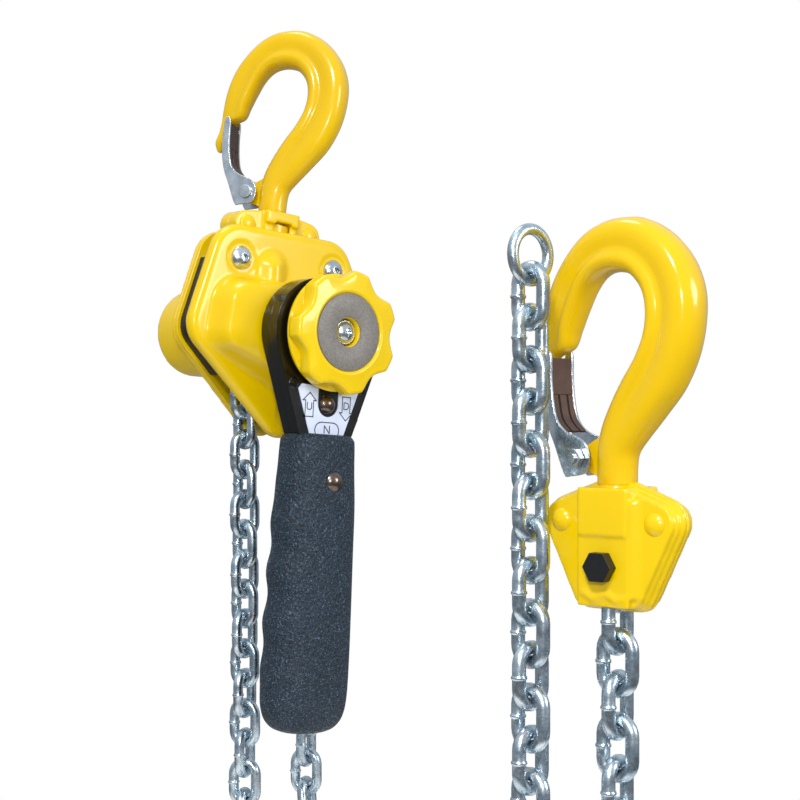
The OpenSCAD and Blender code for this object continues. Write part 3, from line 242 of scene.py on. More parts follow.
def speckled_plate(tree, place):
    """Dull stamped plate: a warm grey with fine dark and light speckles."""
    speckle = spread(tree, noise(tree, place, 0.0009, 5, 0.7), 0.35, 0.68, 0, 1)
    cloud = blend(tree, noise(tree, place, 0.008), tone("8E8A84"), tone("807C75"))
    return {
        "Base Color": blend(tree, speckle, tone("6B6661"), cloud),
        "Metallic": 0.0,
        "Roughness": spread(tree, speckle, 0, 1, 0.5, 0.36),
        "Normal": bump(tree, speckle, 0.00003),
    }


def printed_plate(tree, place):
    """Satin aluminium label with a pale blue-white print."""
    return {
        "Base Color": blend(tree, noise(tree, place, 0.006), tone("DDE6F8"), tone("C9D6F0")),
        "Roughness": spread(tree, noise(tree, place, 0.001, 4), 0.3, 0.7, 0.3, 0.42),
        "Coat Weight": 0.2,
        "Normal": bump(tree, noise(tree, place, 0.0005, 2), 0.00001),
    }


def plain(light, dark, roughness, size=0.004, depth=0.00003):
    """Dull or satin non-metal with a fine grain."""
    def build(tree, place):
        return {
            "Base Color": blend(tree, noise(tree, place, size, 4), tone(light), tone(dark)),
            "Roughness": uneven(tree, noise(tree, place, size / 3, 3), roughness, 0.12),
            "Normal": bump(tree, noise(tree, place, size / 5, 3), depth),
        }
    return build


FINISH = {
    # Sprayed enamel on the pressed covers and the cast yokes
    "yellow_paint": finish("yellow_enamel", enamel("ECC800", "E2BC00")),
    # Enamel on the forged hooks, with small rubs
    "hook_paint": finish("hook_enamel", enamel("E8C000", "D8AE00", 0.00004, 0.18, 0.5)),
    # Enamel on the hand wheel
    "wheel_paint": finish("wheel_enamel", enamel("ECCA00", "E4BE00", 0.00001, 0.18)),
    # Black enamel on the lever's shells
    "black_paint": finish("black_enamel", enamel("0F0D09", "0A0908", 0.00003, 0.18)),
    # Blackened steel of the chain bolt
    "black_oxide": finish("black_oxide_steel", plain("161616", "0E0E0E", 0.34)),
    # Black strip that closes the body
    "guard_rubber": finish("black_guard", plain("0E0E10", "08080A", 0.25, 0.008)),
    # Rubber of the lever's grip
    "grip_rubber": finish("leather_grain_rubber", leather_rubber),
    # Bright plating of screws and latches
    "zinc_plate": finish("bright_zinc", plating("E2E8EC", "C3CDD4", "C2B5A6", 0.006, 0.16, 1.0)),
    # Plating of the chain
    "chain_zinc": finish("chain_zinc", plating("DCE8EE", "A9BBC6", "A89A9C", 0.007, 0.2, 1.0)),
    # Machined steel of gears and shafts
    "machined_steel": finish("machined_steel", steel("9A9DA1", "84878C")),
    # Brake lining
    "brake_lining": finish("brake_lining", plain("5A4E3E", "483E32", 0.8, 0.002)),
    # Printed plate on the lever
    "label_metal": finish("printed_label", printed_plate),
    # Plate in the hand wheel
    "plate_metal": finish("speckled_plate", speckled_plate),
    # Domed rivets of the lever
    "rivet_steel": finish("brown_chrome_rivet", steel("8C7B70", "6C5B50", 0.16)),
    # Selector
    "selector_steel": finish("browned_steel", plain("6A4A3C", "55392E", 0.38)),
}
# Dark print of the marks
INK = finish("dark_print", plain("2A2C34", "3C4050", 0.5))
# Brown bare sheet of a latch's web, and near-black metal that paints the shade in its slots
WEB = finish("browned_sheet", steel("5E463A", "48352C", 0.42, 0.5))
PAINTED_SLOT_SHADE = finish("painted_slot_shade", steel("1A1613", "12100E", 0.4, 0.6))


# ---------- forms ----------


def ring(radius, z, steps=96):
    """Points of a level circle."""
    turns = [math.tau * k / steps for k in range(steps)]
    return [(radius * math.cos(t), radius * math.sin(t), z) for t in turns]


def skin(rings, closed=False):
    """Rings of one length joined one to the next, capped at both ends or closed to a loop."""
    n, count = len(rings[0]), len(rings)
    points = [point for r in rings for point in r]
    faces = []
    for i in range(count if closed else count - 1):
        a, b = i * n, (i + 1) % count * n
        faces += [(a + k, a + (k + 1) % n, b + (k + 1) % n, b + k) for k in range(n)]
    if not closed:
        faces += [tuple(range(n)), tuple(range((count - 1) * n, count * n))]
    return points, faces


def turned(profile, closed=False, steps=96):
    """Radius and height pairs turned about z."""
    return skin([ring(r, z, steps) for r, z in profile], closed)


def prism(outline, z0, z1):
    """Flat outline raised from one height to another."""
    return skin([[(x, y, z) for x, y in outline] for z in (z0, z1)])


def moved(form, place):
    """The form with its points placed by a matrix."""
    return [place @ Vector(p) for p in form[0]], form[1]


def joined(*forms):
    """Separate forms as one list of points and faces."""
    points, faces = [], []
    for form in forms:
        start = len(points)
        points += form[0]
        faces += [tuple(start + k for k in face) for face in form[1]]
    return points, faces


def polar(radius, angle):
    """x and y at a radius and an angle in degrees."""
    return radius * math.cos(math.radians(angle)), radius * math.sin(math.radians(angle))


def rounded(corners, steps=12, inset=0.0):
    """Outline round a list of round corners x, y, radius, anticlockwise."""
    def leaving(a, b):
        way = math.hypot(b[0] - a[0], b[1] - a[1])
        return math.degrees(math.atan2(b[1] - a[1], b[0] - a[0]) - math.acos((a[2] - b[2]) / way))

    outline = []
    for i, (x, y, r) in enumerate(corners):
        start = leaving(corners[i - 1], corners[i])
        sweep = (leaving(corners[i], corners[(i + 1) % len(corners)]) - start) % 360
        for k in range(steps + 1):
            px, py = polar(r - inset, start + sweep * k / steps)
            outline.append((x + px, y + py))
    return outline


def smooth_rows(rows, steps):
    """Catmull-Rom rows between the given rows."""
    fine = []
    last = len(rows) - 1
    for i in range(last):
        a, b, c, d = (rows[min(max(j, 0), last)] for j in (i - 1, i, i + 1, i + 2))
        for k in range(steps):
            t = k / steps
            fine.append([
                0.5 * (2 * q + (r - p) * t + (2 * p - 5 * q + 4 * r - s) * t * t
                       + (3 * q - p - 3 * r + s) * t ** 3)
                for p, q, r, s in zip(a, b, c, d)
            ])
    return fine + [rows[-1]]


# ---------- pieces ----------


def ready(mesh, material, crease):
    """One material, smooth faces, and edges sharp above the crease angle."""
    mesh.materials.clear()
    mesh.materials.append(material)
    mesh.shade_smooth()
    mesh.set_sharp_from_angle(angle=math.radians(crease))


def show(name, mesh, nodes, body=None):
    """The piece with that mesh rides its node's body and stands for the nodes."""
    made = bpy.data.objects.new(name, mesh)
    bpy.context.scene.collection.objects.link(made)
    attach(made, body or NODES[nodes[0]]["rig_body"])
    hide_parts(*nodes)
    return made


def bevelled(bm, width, segments, angle=30):
    """Rounds every edge that is sharper than the angle."""
    sharp = math.radians(angle)
    edges = [e for e in bm.edges if len(e.link_faces) == 2 and e.calc_face_angle(0) > sharp]
    bmesh.ops.bevel(
        bm, geom=edges, offset=width, offset_type="OFFSET", segments=segments,
        profile=0.5, affect="EDGES", clamp_overlap=True,
    )


def weighted(made):
    """Keeps broad flats flat beside their rounded edges."""
    modifier = made.modifiers.new("flat", "WEIGHTED_NORMAL")
    modifier.keep_sharp = True
    return made


def piece(name, form, place, nodes, material=None, bevel=0.0, crease=40, segments=3):
    """A closed form, with its sharp edges rounded by the bevel in millimetres."""
    mesh = bpy.data.meshes.new(name)
    mesh.from_pydata(form[0], [], form[1])
    bm = bmesh.new()
    bm.from_mesh(mesh)
    bmesh.ops.remove_doubles(bm, verts=bm.verts, dist=0.001)
    bmesh.ops.recalc_face_normals(bm, faces=bm.faces)
    if bevel:
        bevelled(bm, bevel, segments)
    bm.transform(place)
    bm.to_mesh(mesh)
    bm.free()
    ready(mesh, material or FINISH[SLOT[nodes[0]]], crease)
    made = show(name, mesh, nodes)
    return weighted(made) if bevel else made


def crisp(node, width, segments=3, crease=40):
    """The node's own solids with rounded edges."""
    bm = bmesh.new()
    bm.from_mesh(NODES[node].data)
    bmesh.ops.remove_doubles(bm, verts=bm.verts, dist=0.002 * MM)
    bmesh.ops.dissolve_limit(bm, angle_limit=math.radians(0.5), verts=bm.verts, edges=bm.edges)
    bevelled(bm, width * MM, segments)
    mesh = bpy.data.meshes.new(node + "_dressed")
    bm.to_mesh(mesh)
    bm.free()
    ready(mesh, FINISH[SLOT[node]], crease)
    return weighted(show(node + "_dressed", mesh, [node]))


def evaluated(thing, name):
    """Plain mesh of an object with its modifiers applied."""
    mesh = bpy.data.meshes.new_from_object(
        thing.evaluated_get(bpy.context.evaluated_depsgraph_get())
    )
    mesh.name = name
    return mesh


def cast(name, nodes, forms=(), place=Matrix(), grain=0.7, rounds=6):
    """The nodes' solids melted into one casting with soft edges, with more forms added."""
    bm = bmesh.new()
    for node in nodes:
        bm.from_mesh(NODES[node].data)
    for form in forms:
        extra = bpy.data.meshes.new("extra")
        extra.from_pydata([place @ Vector(p) for p in form[0]], [], form[1])
        fresh = bmesh.new()
        fresh.from_mesh(extra)
        bmesh.ops.recalc_face_normals(fresh, faces=fresh.faces)
        fresh.to_mesh(extra)
        fresh.free()
        bm.from_mesh(extra)
        bpy.data.meshes.remove(extra)
    bmesh.ops.remove_doubles(bm, verts=bm.verts, dist=0.002 * MM)
    rough = bpy.data.meshes.new("rough")
    bm.to_mesh(rough)
    bm.free()
    block = bpy.data.objects.new("block", rough)
    bpy.context.scene.collection.objects.link(block)
    melt = block.modifiers.new("melt", "REMESH")
    melt.mode = "VOXEL"
    melt.voxel_size = grain * MM
    soften = block.modifiers.new("soften", "SMOOTH")
    soften.factor = 0.5
    soften.iterations = rounds
    mesh = evaluated(block, name)
    bpy.data.objects.remove(block)
    bpy.data.meshes.remove(rough)
    ready(mesh, FINISH[SLOT[nodes[0]]], 60)
    return show(name, mesh, nodes)


# ---------- body ----------

COVER_CORNERS = [(24, 42, 19), (-41, 42, 20), (-55, 2, 18), (-4, -47, 15.6), (47, 2, 18)]
COVER_STEPS = 240


def reach(outline, angle):
    """Distance from the origin to a star-shaped outline at an angle."""
    way = Vector(polar(1, angle))
    best = 0.0
    for a, b in zip(outline, outline[1:] + outline[:1]):
        a, side = Vector(a), Vector(b) - Vector(a)
        across = way.x * side.y - way.y * side.x
        if abs(across) > 1e-9:
            share = (a.y * way.x - a.x * way.y) / -across
            along = (a.x * side.y - a.y * side.x) / across
            if -1e-6 <= share <= 1 + 1e-6 and along > best:
                best = along
    return best


# The cover's edge: drawn in from the outline, height over the plate's front
COVER_EDGE = [
    (2.2, -3.2), (0.6, -3.3), (0, -2.8), (0, -1.2), (0.25, 0.4), (0.9, 1.8), (1.9, 2.8),
    (3.2, 3.35), (4.6, 3.55),
]
# Height of the flat margin, rise of the raised middle's step, radius of the neck under the lever
COVER_FLAT, COVER_RISE, COVER_NECK = 3.6, 11.5, 24
COVER_TALL = COVER_TOP - PLATE_FRONT
COVER_WALL = 2.2
COVER_MARGIN = 6
# Radii of the flat rings round the shaft's hole, and the rings of the face outside and inside
MOUTH_RADII = (21, 15)
FACE_RINGS, BACK_RINGS = 44, 12
# Foot of the raised middle: round corners x, y, radius
RAISED_CORNERS = [(30, 16, 19), (-43, 13, 17), (-49, -2, 13), (0, -2, 35), (42, -2, 13)]
# The raised knuckle over the yoke's pin: middle, half width, rise
KNUCKLE = (-19, 38, 12.5, 7)
# The stay bolts lie in round seats
STAYS = [(27, 42), (-41, 42), (0, -48)]
SEAT_R, SEAT_DEPTH, SEAT_SLOPE = 10.5, 0.6, 1.2


def ease(t):
    """0 to 1 with a soft start and end."""
    t = min(max(t, 0), 1)
    return t * t * (3 - 2 * t)


def cover_height(x, y, raised):
    """Height of the face over the plate's front; raised is the foot's distance at that angle."""
    inside = raised - math.hypot(x, y)
    slope = min(max((inside - 2) / (raised - COVER_NECK - 2), 0), 1)
    z = COVER_FLAT + COVER_RISE * ease((inside + 1.5) / 8.5)
    z += (COVER_TALL - COVER_FLAT - COVER_RISE) * (1 - (1 - slope) ** 1.6)
    kx, ky, half, rise = KNUCKLE
    way = math.hypot(x - kx, max(0, y - ky)) / half
    if way < 1:
        z = max(z, COVER_FLAT + rise * (1 - ease(way) ** 1.2) * ease((y + 5) / 20))
    for sx, sy in STAYS:
        beyond = math.hypot(x - sx, y - sy) - SEAT_R
        z -= SEAT_DEPTH * (1 - ease((beyond + SEAT_SLOPE) / SEAT_SLOPE))
    return min(z, COVER_TALL)


def brake_cover():
    """The pressed cover, from its drawn edge over the raised middle to the shaft's hole."""
    kite = rounded(COVER_CORNERS)
    foot = rounded(RAISED_CORNERS)
    angles = [360 * k / COVER_STEPS for k in range(COVER_STEPS)]
    reaches = [reach(kite, a) for a in angles]
    feet = [reach(foot, a) for a in angles]

    def edge(inset, z, back=0.0):
        return [(*polar(far - inset - back, a), PLATE_FRONT + z) for a, far in zip(angles, reaches)]

    def face(share, back=0.0):
        points = []
        for angle, far, raised in zip(angles, reaches, feet):
            r = share * (far - COVER_MARGIN) + (1 - share) * COVER_NECK
            x, y = polar(r, angle)
            z = cover_height(x, y, raised) - back
            points.append((*polar(r - back, angle), PLATE_FRONT + z))
        return points

    def mouth(z):
        return [[(*polar(r, a), z) for a in angles] for r in MOUTH_RADII]

    outer = [edge(*row) for row in COVER_EDGE]
    outer += [face(1 - k / FACE_RINGS) for k in range(FACE_RINGS + 1)]
    outer += mouth(PLATE_FRONT + COVER_TALL)
    inner = [edge(inset, z - 1.5, COVER_WALL) for inset, z in COVER_EDGE[4:]]
    inner += [face(1 - k / BACK_RINGS, COVER_WALL) for k in range(BACK_RINGS)]
    inner += mouth(PLATE_FRONT + COVER_TALL - COVER_WALL)
    piece("brake_cover_pressing", skin(outer + inner[::-1], True), AT_SHAFT, ["brake_cover"], crease=50)


brake_cover()
for node, width in (
    ("front_plate", 0.8), ("rear_plate", 0.9), ("body_bolts", 0.35), ("side_guards", 0.6),
):
    crisp(node, width)
cast("gear_case_pressing", ["gear_case"], grain=0.9, rounds=8)


# ---------- lever ----------

for node, width in (
    ("lever_rear_shell", 0.9), ("lever_front_shell", 0.9), ("lever_screws", 0.2),
    ("lever_rivets", 0.15), ("selector_pawl", 0.5), ("label_plate", 0.15),
):
    crisp(node, width)

LEVER_LENGTH, GRIP_LENGTH, GRIP_W, GRIP_DEPTH = 234, 174, 54, 40
# Rows down the grip: shares of its length, width and depth, and of the fingers' swell
GRIP_ROWS = [
    [-0.002, 0.62, 0.7, 0], [0, 0.72, 0.82, 0], [0.012, 0.8, 0.9, 0], [0.03, 0.83, 0.93, 0],
    [0.12, 0.86, 0.95, 0], [0.24, 0.91, 1, 0.4], [0.4, 0.94, 1, 1], [0.6, 0.98, 1, 1],
    [0.76, 1, 1, 0.6], [0.88, 0.99, 0.98, 0], [0.94, 0.92, 0.9, 0], [0.975, 0.76, 0.76, 0],
    [0.992, 0.54, 0.54, 0], [0.999, 0.28, 0.28, 0],
]
GRIP_SIDES = 72
FINGERS, FINGER_SWELL = 4, 1.6


def grip():
    """The moulded grip, with swells between the fingers on its left."""
    rings = []
    for share, wide, deep, wave in smooth_rows(GRIP_ROWS, 10):
        finger = FINGER_SWELL * wave * math.cos(math.tau * FINGERS * (share - 0.12) / 0.68)
        level = []
        for k in range(GRIP_SIDES):
            c, s = math.cos(math.tau * k / GRIP_SIDES), math.sin(math.tau * k / GRIP_SIDES)
            w = GRIP_W / 2 * wide + finger * max(0, -c)
            level.append((
                w * math.copysign(abs(c) ** 0.86, c),
                GRIP_LENGTH * (1 - share) - LEVER_LENGTH,
                ARM_MID + GRIP_DEPTH / 2 * deep * math.copysign(abs(s) ** 0.86, s),
            ))
        rings.append(level)
    piece("grip_moulding", skin(rings), AT_SHAFT, ["grip"], crease=60)


grip()

INK_FRONT = HEAD_FRONT + 0.8 + 0.06


def stroke(outline, width):
    """A thin printed line along a closed outline on the label."""
    bars = []
    for a, b in zip(outline, outline[1:] + outline[:1]):
        a, b = Vector(a), Vector(b)
        along = (b - a).normalized() * width / 2
        side = Vector((-along.y, along.x))
        a, b = a - along, b + along
        bars.append(prism([a + side, a - side, b - side, b + side], INK_FRONT - 0.1, INK_FRONT))
    return joined(*bars)


def letter(text, x, y, height):
    """A flat letter as a closed sheet on the label."""
    curve = bpy.data.curves.new("letter", "FONT")
    curve.body = text
    curve.align_x, curve.align_y = "CENTER", "CENTER"
    curve.size = height / 0.7
    curve.extrude = 0.05
    holder = bpy.data.objects.new("letter", curve)
    mesh = bpy.data.meshes.new_from_object(holder)
    mesh.transform(Matrix.Translation((x, y, INK_FRONT - 0.05)))
    form = [v.co.copy() for v in mesh.vertices], [tuple(p.vertices) for p in mesh.polygons]
    bpy.data.meshes.remove(mesh)
    bpy.data.objects.remove(holder)
    bpy.data.curves.remove(curve)
    return form


# Outline of an arrow that points up
ARROW = [(-2.9, -6.8), (2.9, -6.8), (2.9, 2.6), (4.8, 2.6), (0, 7.2), (-4.8, 2.6), (-2.9, 2.6)]


def marks():
    """The print on the label: an arrow up with U, an arrow down with D, and N in a pill."""
    up = [(x - 13.6, y - 43) for x, y in ARROW]
    down = [(x + 13.4, -43.6 - y) for x, y in ARROW]
    pill = [
        (side * 4.2 + dx, -57.2 + dy)
        for side, first in ((1, -90), (-1, 90))
        for dx, dy in (polar(4.6, first + 15 * k) for k in range(13))
    ]
    lines = [stroke(outline, 0.6) for outline in (up, down, pill)]
    letters = [letter("U", -13.6, -44, 4.6), letter("D", 13.4, -42.4, 4.6), letter("N", 0, -57, 5)]
    piece("label_marks", joined(*lines, *letters), AT_SHAFT, ["label_plate"], INK, crease=30)


marks()


# ---------- hand wheel ----------

WHEEL_R, LOBE_DEPTH, LOBES, HOLLOW_SHARE = 36.5, 5, 7, 0.7
WHEEL_STEPS = LOBES * 40
PLATE_R = 22.5


def rim(inset, angle, depth=LOBE_DEPTH):
    """Radius of the lobed rim; one lobe points straight to the left."""
    from_middle = abs((angle - 180) % (360 / LOBES) - 180 / LOBES)
    dip = max(0, 1 - (from_middle / (180 / LOBES * HOLLOW_SHARE)) ** 2)
    return WHEEL_R - inset - depth * dip ** 1.15


def hand_wheel():
    """The lobed casting, with the disc's seat in its face and the screw's hole."""
    def level(inset, z, depth=LOBE_DEPTH, radius=None):
        angles = [360 * k / WHEEL_STEPS for k in range(WHEEL_STEPS)]
        return [(*polar(radius or rim(inset, a, depth), a), z) for a in angles]

    back, front = WHEEL_BACK, WHEEL_FRONT
    back_flange = [(3.6, 0, 0), (2.4, 0.5, 0), (2, 1.4, 0), (2, 2.8, 0), (2.6, 3.5, 0.4), (2.4, 4, 3.2)]
    flank = [(1.2, 4.4), (0.6, 4.8), (0.25, 5.6), (0.1, 7)]
    front_edge = [(0, 3), (0.2, 1.8), (0.8, 0.8), (1.7, 0.25), (2.8, 0)]
    disc_seat = [
        (25.6, 0), (25, -0.25), (24.2, -0.2), (23.4, 0.2), (22.9, 0.8), (22.7, 1.35),
        (9, 1.4), (8.4, 1.6), (8.1, 2.4),
    ]
    rings = [level(0, back, radius=5.1), level(0, back, radius=24)]
    rings += [level(inset, back + up, depth) for inset, up, depth in back_flange]
    rings += [level(inset, back + up) for inset, up in flank]
    rings += [level(inset, front - down) for inset, down in front_edge]
    rings += [level(0, front - down, radius=radius) for radius, down in disc_seat]
    rings += [level(0, back + 4.2, radius=8), level(0, back + 4.2, radius=5.1)]
    piece("hand_wheel_casting", skin(rings, True), AT_SHAFT, ["hand_wheel"], crease=50)


hand_wheel()
PLATE_Z = WHEEL_FRONT - 0.35
disc = [
    (8.7, PLATE_Z - 0.9), (PLATE_R, PLATE_Z - 0.9), (PLATE_R, PLATE_Z - 0.15),
    (PLATE_R - 0.3, PLATE_Z), (9.2, PLATE_Z - 0.1), (8.7, PLATE_Z - 0.35),
]
piece("wheel_disc", turned(disc, True, 120), AT_SHAFT, ["wheel_plate"])
crisp("wheel_screw", 0.12)


# ---------- hooks ----------

# Rows across the hook's bar: inner edge x, z; outer edge x, z; half thickness; share of the
# forged section, where 0 is round
HOOK_ROWS = [
    [-8.4, -89.6, 8.4, -89.6, 8.4, 0], [-8.4, -82, 8.6, -82.5, 8.4, 0],
    [-8, -74.5, 9.8, -76.5, 8.6, 0.1], [-6, -66, 14.5, -70.5, 8.8, 0.4],
    [-1.5, -56.5, 23, -61, 9, 0.8], [4.5, -46.5, 32.5, -49.5, 9.3, 1],
    [11, -37.5, 39, -35.5, 9.7, 1], [16, -28, 41.7, -21, 10, 1], [17.6, -18, 41, -7.5, 10.2, 1],
    [15.5, -9, 35.5, 5.5, 10.2, 0.9], [10, -2.6, 25.5, 16, 10.2, 0.8],
    [4, -0.4, 12.5, 22.3, 10, 0.8], [-3, -0.3, -2, 22.3, 9.8, 0.9],
    [-9, -2.6, -13.5, 17.5, 9.3, 1], [-14, -8.2, -23.5, 8.5, 8.8, 1],
    [-18, -16.5, -31.5, -3, 8.2, 1], [-21.5, -25, -36, -15.5, 7.5, 0.9],
    [-24.2, -32, -38, -27, 6.2, 0.7], [-32.2, -36, -38.6, -35, 5, 0],
    [-32.4, -42, -39.8, -41, 4.7, 0], [-35, -48, -41.8, -47, 4.2, 0],
    [-37.2, -52.3, -41, -51, 2.4, 0], [-38.3, -53.6, -40, -53, 1, 0],
]
# Half of the forged section from the bowl outwards: share across the bar, share of the half thickness
FORGED = [
    (0, 0), (0.012, 0.34), (0.05, 0.64), (0.11, 0.86), (0.19, 0.98), (0.27, 0.98), (0.33, 0.87),
    (0.39, 0.78), (0.46, 0.82), (0.56, 0.92), (0.69, 0.97), (0.82, 0.95), (0.92, 0.76),
    (0.978, 0.42), (1, 0),
]


def hook_section():
    """Forged and round sections with the same number of points."""
    half = len(FORGED) - 1
    shapes = []
    for k in range(2 * half):
        mirror = k > half
        i = 2 * half - k if mirror else k
        across, thick = FORGED[i]
        turn = math.pi * i / half
        plain_section = ((1 - math.cos(turn)) / 2, math.sin(turn) ** 0.9)
        shapes.append(((across, thick), plain_section, -1 if mirror else 1))
    return shapes


HOOK_REACH = 91
LATCH_PIVOT = (-15.5, -79)
COLLAR_Z = -HOOK_REACH - 13
LUG_R = 5.2


def hook_form():
    """The forging: bar, round stem with its collar, and the lug for the latch."""
    rings = []
    shapes = hook_section()
    for ix, iz, ox, oz, half, forged in smooth_rows(HOOK_ROWS, 8):
        forged = min(max(forged, 0), 1)
        level = []
        for (u, v), (pu, pv), side in shapes:
            across = u * forged + pu * (1 - forged)
            thick = (v * forged + pv * (1 - forged)) * half * side
            level.append((ix + (ox - ix) * across, -thick, iz + (oz - iz) * across))
        rings.append(level)
    stem = [
        (0.01, COLLAR_Z), (11, COLLAR_Z), (11, COLLAR_Z + 5), (8, COLLAR_Z + 5), (8, -93.6),
        (8.15, -93.2), (8.5, -93), (8.6, -91.6), (8.5, -90.6), (8.1, -90.3), (8.1, -89.9),
        (8.4, -89.5), (8.4, -85), (0.01, -85),
    ]
    round_end = [polar(LUG_R, 80 + 20 * k) for k in range(10)]
    lug = [(-14.5, -74)]
    lug += [(LATCH_PIVOT[0] + x, LATCH_PIVOT[1] + y) for x, y in round_end]
    lug += [(-13, -85), (-4, -88.5), (-4, -68)]
    return joined(skin(rings), turned(stem, steps=64), flat_to_side(prism(lug, -3, 3)))


# A latch's side in the plane of the hook, and the line of its web
LATCH_SIDE = [
    (-33.4, -33.5), (-34.2, -45), (-33.6, -56), (-31.2, -66), (-27.6, -74), (-22.5, -86),
    (-19.5, -87), (-10.5, -85), (-8.7, -79), (-10, -74), (-14.4, -70.5), (-22, -67.5),
    (-26.6, -62.5), (-28.6, -55), (-29.6, -45), (-30, -33.5),
]
LATCH_LINE = [(-30.7, -36), (-30.4, -45), (-29.4, -55.2), (-27.3, -62.9), (-22.6, -68)]
LATCH_IN, LATCH_OUT = 6.7, 8.3
WEB_HALF = LATCH_IN + 0.4


def flat_to_side(form):
    """Turns a form drawn flat into the plane of the hook."""
    return moved(form, Matrix.Rotation(math.radians(90), 4, "X"))


def web(low, high, rows, thickness=1.3):
    """A strip of the web between two places across it."""
    rings = []
    for i, (x, z) in enumerate(rows):
        a, b = rows[max(i - 1, 0)], rows[min(i + 1, len(rows) - 1)]
        way = Vector((b[0] - a[0], b[1] - a[1])).normalized() * thickness / 2
        nx, nz = -way.y, way.x
        rings.append([
            (x + nx, low, z + nz), (x + nx, high, z + nz),
            (x - nx, high, z - nz), (x - nx, low, z - nz),
        ])
    return skin(rings)


def latch(name, place, node):
    """Both sides, the web with its two slots, and dark strips in the slots as painted shade."""
    side = [flat_to_side(prism(smoothed(LATCH_SIDE), z, z + 1.6)) for z in (LATCH_IN, -LATCH_OUT)]
    piece(name + "_sides", joined(*side), place, [node], bevel=0.4)
    line = smooth_rows([list(p) for p in LATCH_LINE], 6)
    split = len(line) * 2 // 5
    strips = [web(-WEB_HALF, WEB_HALF, line[:split + 1])]
    for low, high in ((-WEB_HALF, -3.7), (-2.1, 2.1), (3.7, WEB_HALF)):
        strips.append(web(low, high, line[split:]))
    piece(name + "_web", joined(*strips), place, [node], WEB, bevel=0.25)
    # Near-black strips in the slots' gaps are painted shade, not a part of the latch
    shade_strips = [web(low, high, line[split - 1:], 0.5) for low, high in ((-3.9, -1.9), (1.9, 3.9))]
    piece(name + "_slots", joined(*shade_strips), place, [node], PAINTED_SLOT_SHADE)


def smoothed(outline, steps=4):
    """Closed outline with soft corners."""
    count = len(outline)
    rows = smooth_rows([list(outline[i % count]) for i in range(-1, count + 2)], steps)
    return [tuple(p) for p in rows[steps:steps + count * steps]]


for name, place in (("top", AT_TOP_HOOK), ("lower", AT_LOWER_HOOK)):
    piece(name + "_hook_forging", hook_form(), place, [name + "_hook"], crease=60)
    latch(name + "_latch", place, name + "_latch")
for node in ("top_latch_pin", "lower_latch_bolt"):
    crisp(node, 0.25)


# ---------- yokes ----------


# Outline of the lower yoke's wings: round corners x, z, radius
LOWER_WINGS = [
    (23, -105.5, 8.5), (8, -94, 3), (-8, -94, 3), (-23, -105.5, 8.5), (-12, -136, 5), (12, -136, 5),
]
BLOCK_FRONT, FOOT_Z = 12, -141
LIP_HALF, LIP_STEPS, LIP_SIDES = 11, 24, 12


def band(corners, out, near, far):
    """A ridge along an outline's edge, between two depths."""
    rims = [(out, near), (out, far), (-3, far), (-3, near)]
    rings = [[(x, y, z) for x, y in rounded(corners, 12, -grow)] for grow, z in rims]
    return flat_to_side(skin(rings, True))


def lower_yoke_forms(side):
    """Stepped ridges round the wings; in front also the facet and the lip under the bolt."""
    steps = ((2.2, 2.6), (1.1, 5.4))
    forms = [band(LOWER_WINGS, out, 0.2 * side, depth * side) for out, depth in steps]
    if side > 0:
        facet = [(11.5, -8), (11.5, -BLOCK_FRONT), (18, -8)]
        forms.append(skin([[(x, y, z) for x, y in facet] for z in (-96, -137)]))
        lip = []
        turns = [math.tau * m / LIP_SIDES for m in range(LIP_SIDES)]
        for k in range(LIP_STEPS + 1):
            x = -LIP_HALF + 2 * LIP_HALF * k / LIP_STEPS
            z = FOOT_Z + 4.4 + 1.1 * math.sin(x * 0.55 + 0.6)
            r = 2.5 - 0.5 * (abs(x) / LIP_HALF) ** 4
            y = -BLOCK_FRONT + 1.3
            lip.append([(x, y + r * math.cos(t), z + r * math.sin(t)) for t in turns])
        forms.append(skin(lip))
    return forms


for node in ("top_yoke_front", "top_yoke_rear"):
    cast(node + "_casting", [node], rounds=5)
for node, side in (("lower_yoke_front", 1), ("lower_yoke_rear", -1)):
    cast(node + "_casting", [node], lower_yoke_forms(side), AT_LOWER_YOKE, rounds=5)


# Place across and along the yoke, height of the heads' seat, and radii of the shank and head
RIVET_X, RIVET_Z, RIVET_SEAT, SHANK_R, HEAD_R, HEAD_RISE = 23, -102, 8.5, 3, 5.8, 2.5
DOME_STEPS = 8


def wing_rivets():
    """Broad domed rivets through both wings of the top yoke."""
    turns = [math.pi / 2 * k / DOME_STEPS for k in range(DOME_STEPS)]
    under = RIVET_SEAT - 0.1
    half = [(0.01, 0), (SHANK_R, 0), (SHANK_R, under), (HEAD_R, under)]
    half += [(HEAD_R * math.cos(t), RIVET_SEAT + HEAD_RISE * math.sin(t)) for t in turns]
    half.append((0.01, RIVET_SEAT + HEAD_RISE))
    forms = []
    for x in (-RIVET_X, RIVET_X):
        for angle in (90, -90):
            place = Matrix.Translation((x, 0, RIVET_Z)) @ Matrix.Rotation(math.radians(angle), 4, "X")
            forms.append(moved(turned(half, steps=40), place))
    return joined(*forms)


piece("top_yoke_rivet_heads", wing_rivets(), AT_TOP_YOKE, ["top_yoke_rivets"], crease=50)
for node, width in (("lower_yoke_rivets", 0.2), ("chain_bolt", 1.0)):
    crisp(node, width)


# ---------- chain ----------

LINK_INSIDE, WIRE_R, LINK_MID = 9.2, 3.0, 7.2
# The weld's swell along its limb: place, added radius
WELD = [
    (-1.1, 0), (-0.75, 0.1), (-0.5, 0.42), (0, 0.5), (0.5, 0.42), (0.75, 0.1), (1.1, 0),
]
# The camera's right; each link is turned so that its weld is on the left, or on top where
# its width stands upright
RIGHT = Vector((0.766, -0.643, 0))
UPRIGHT = 0.01


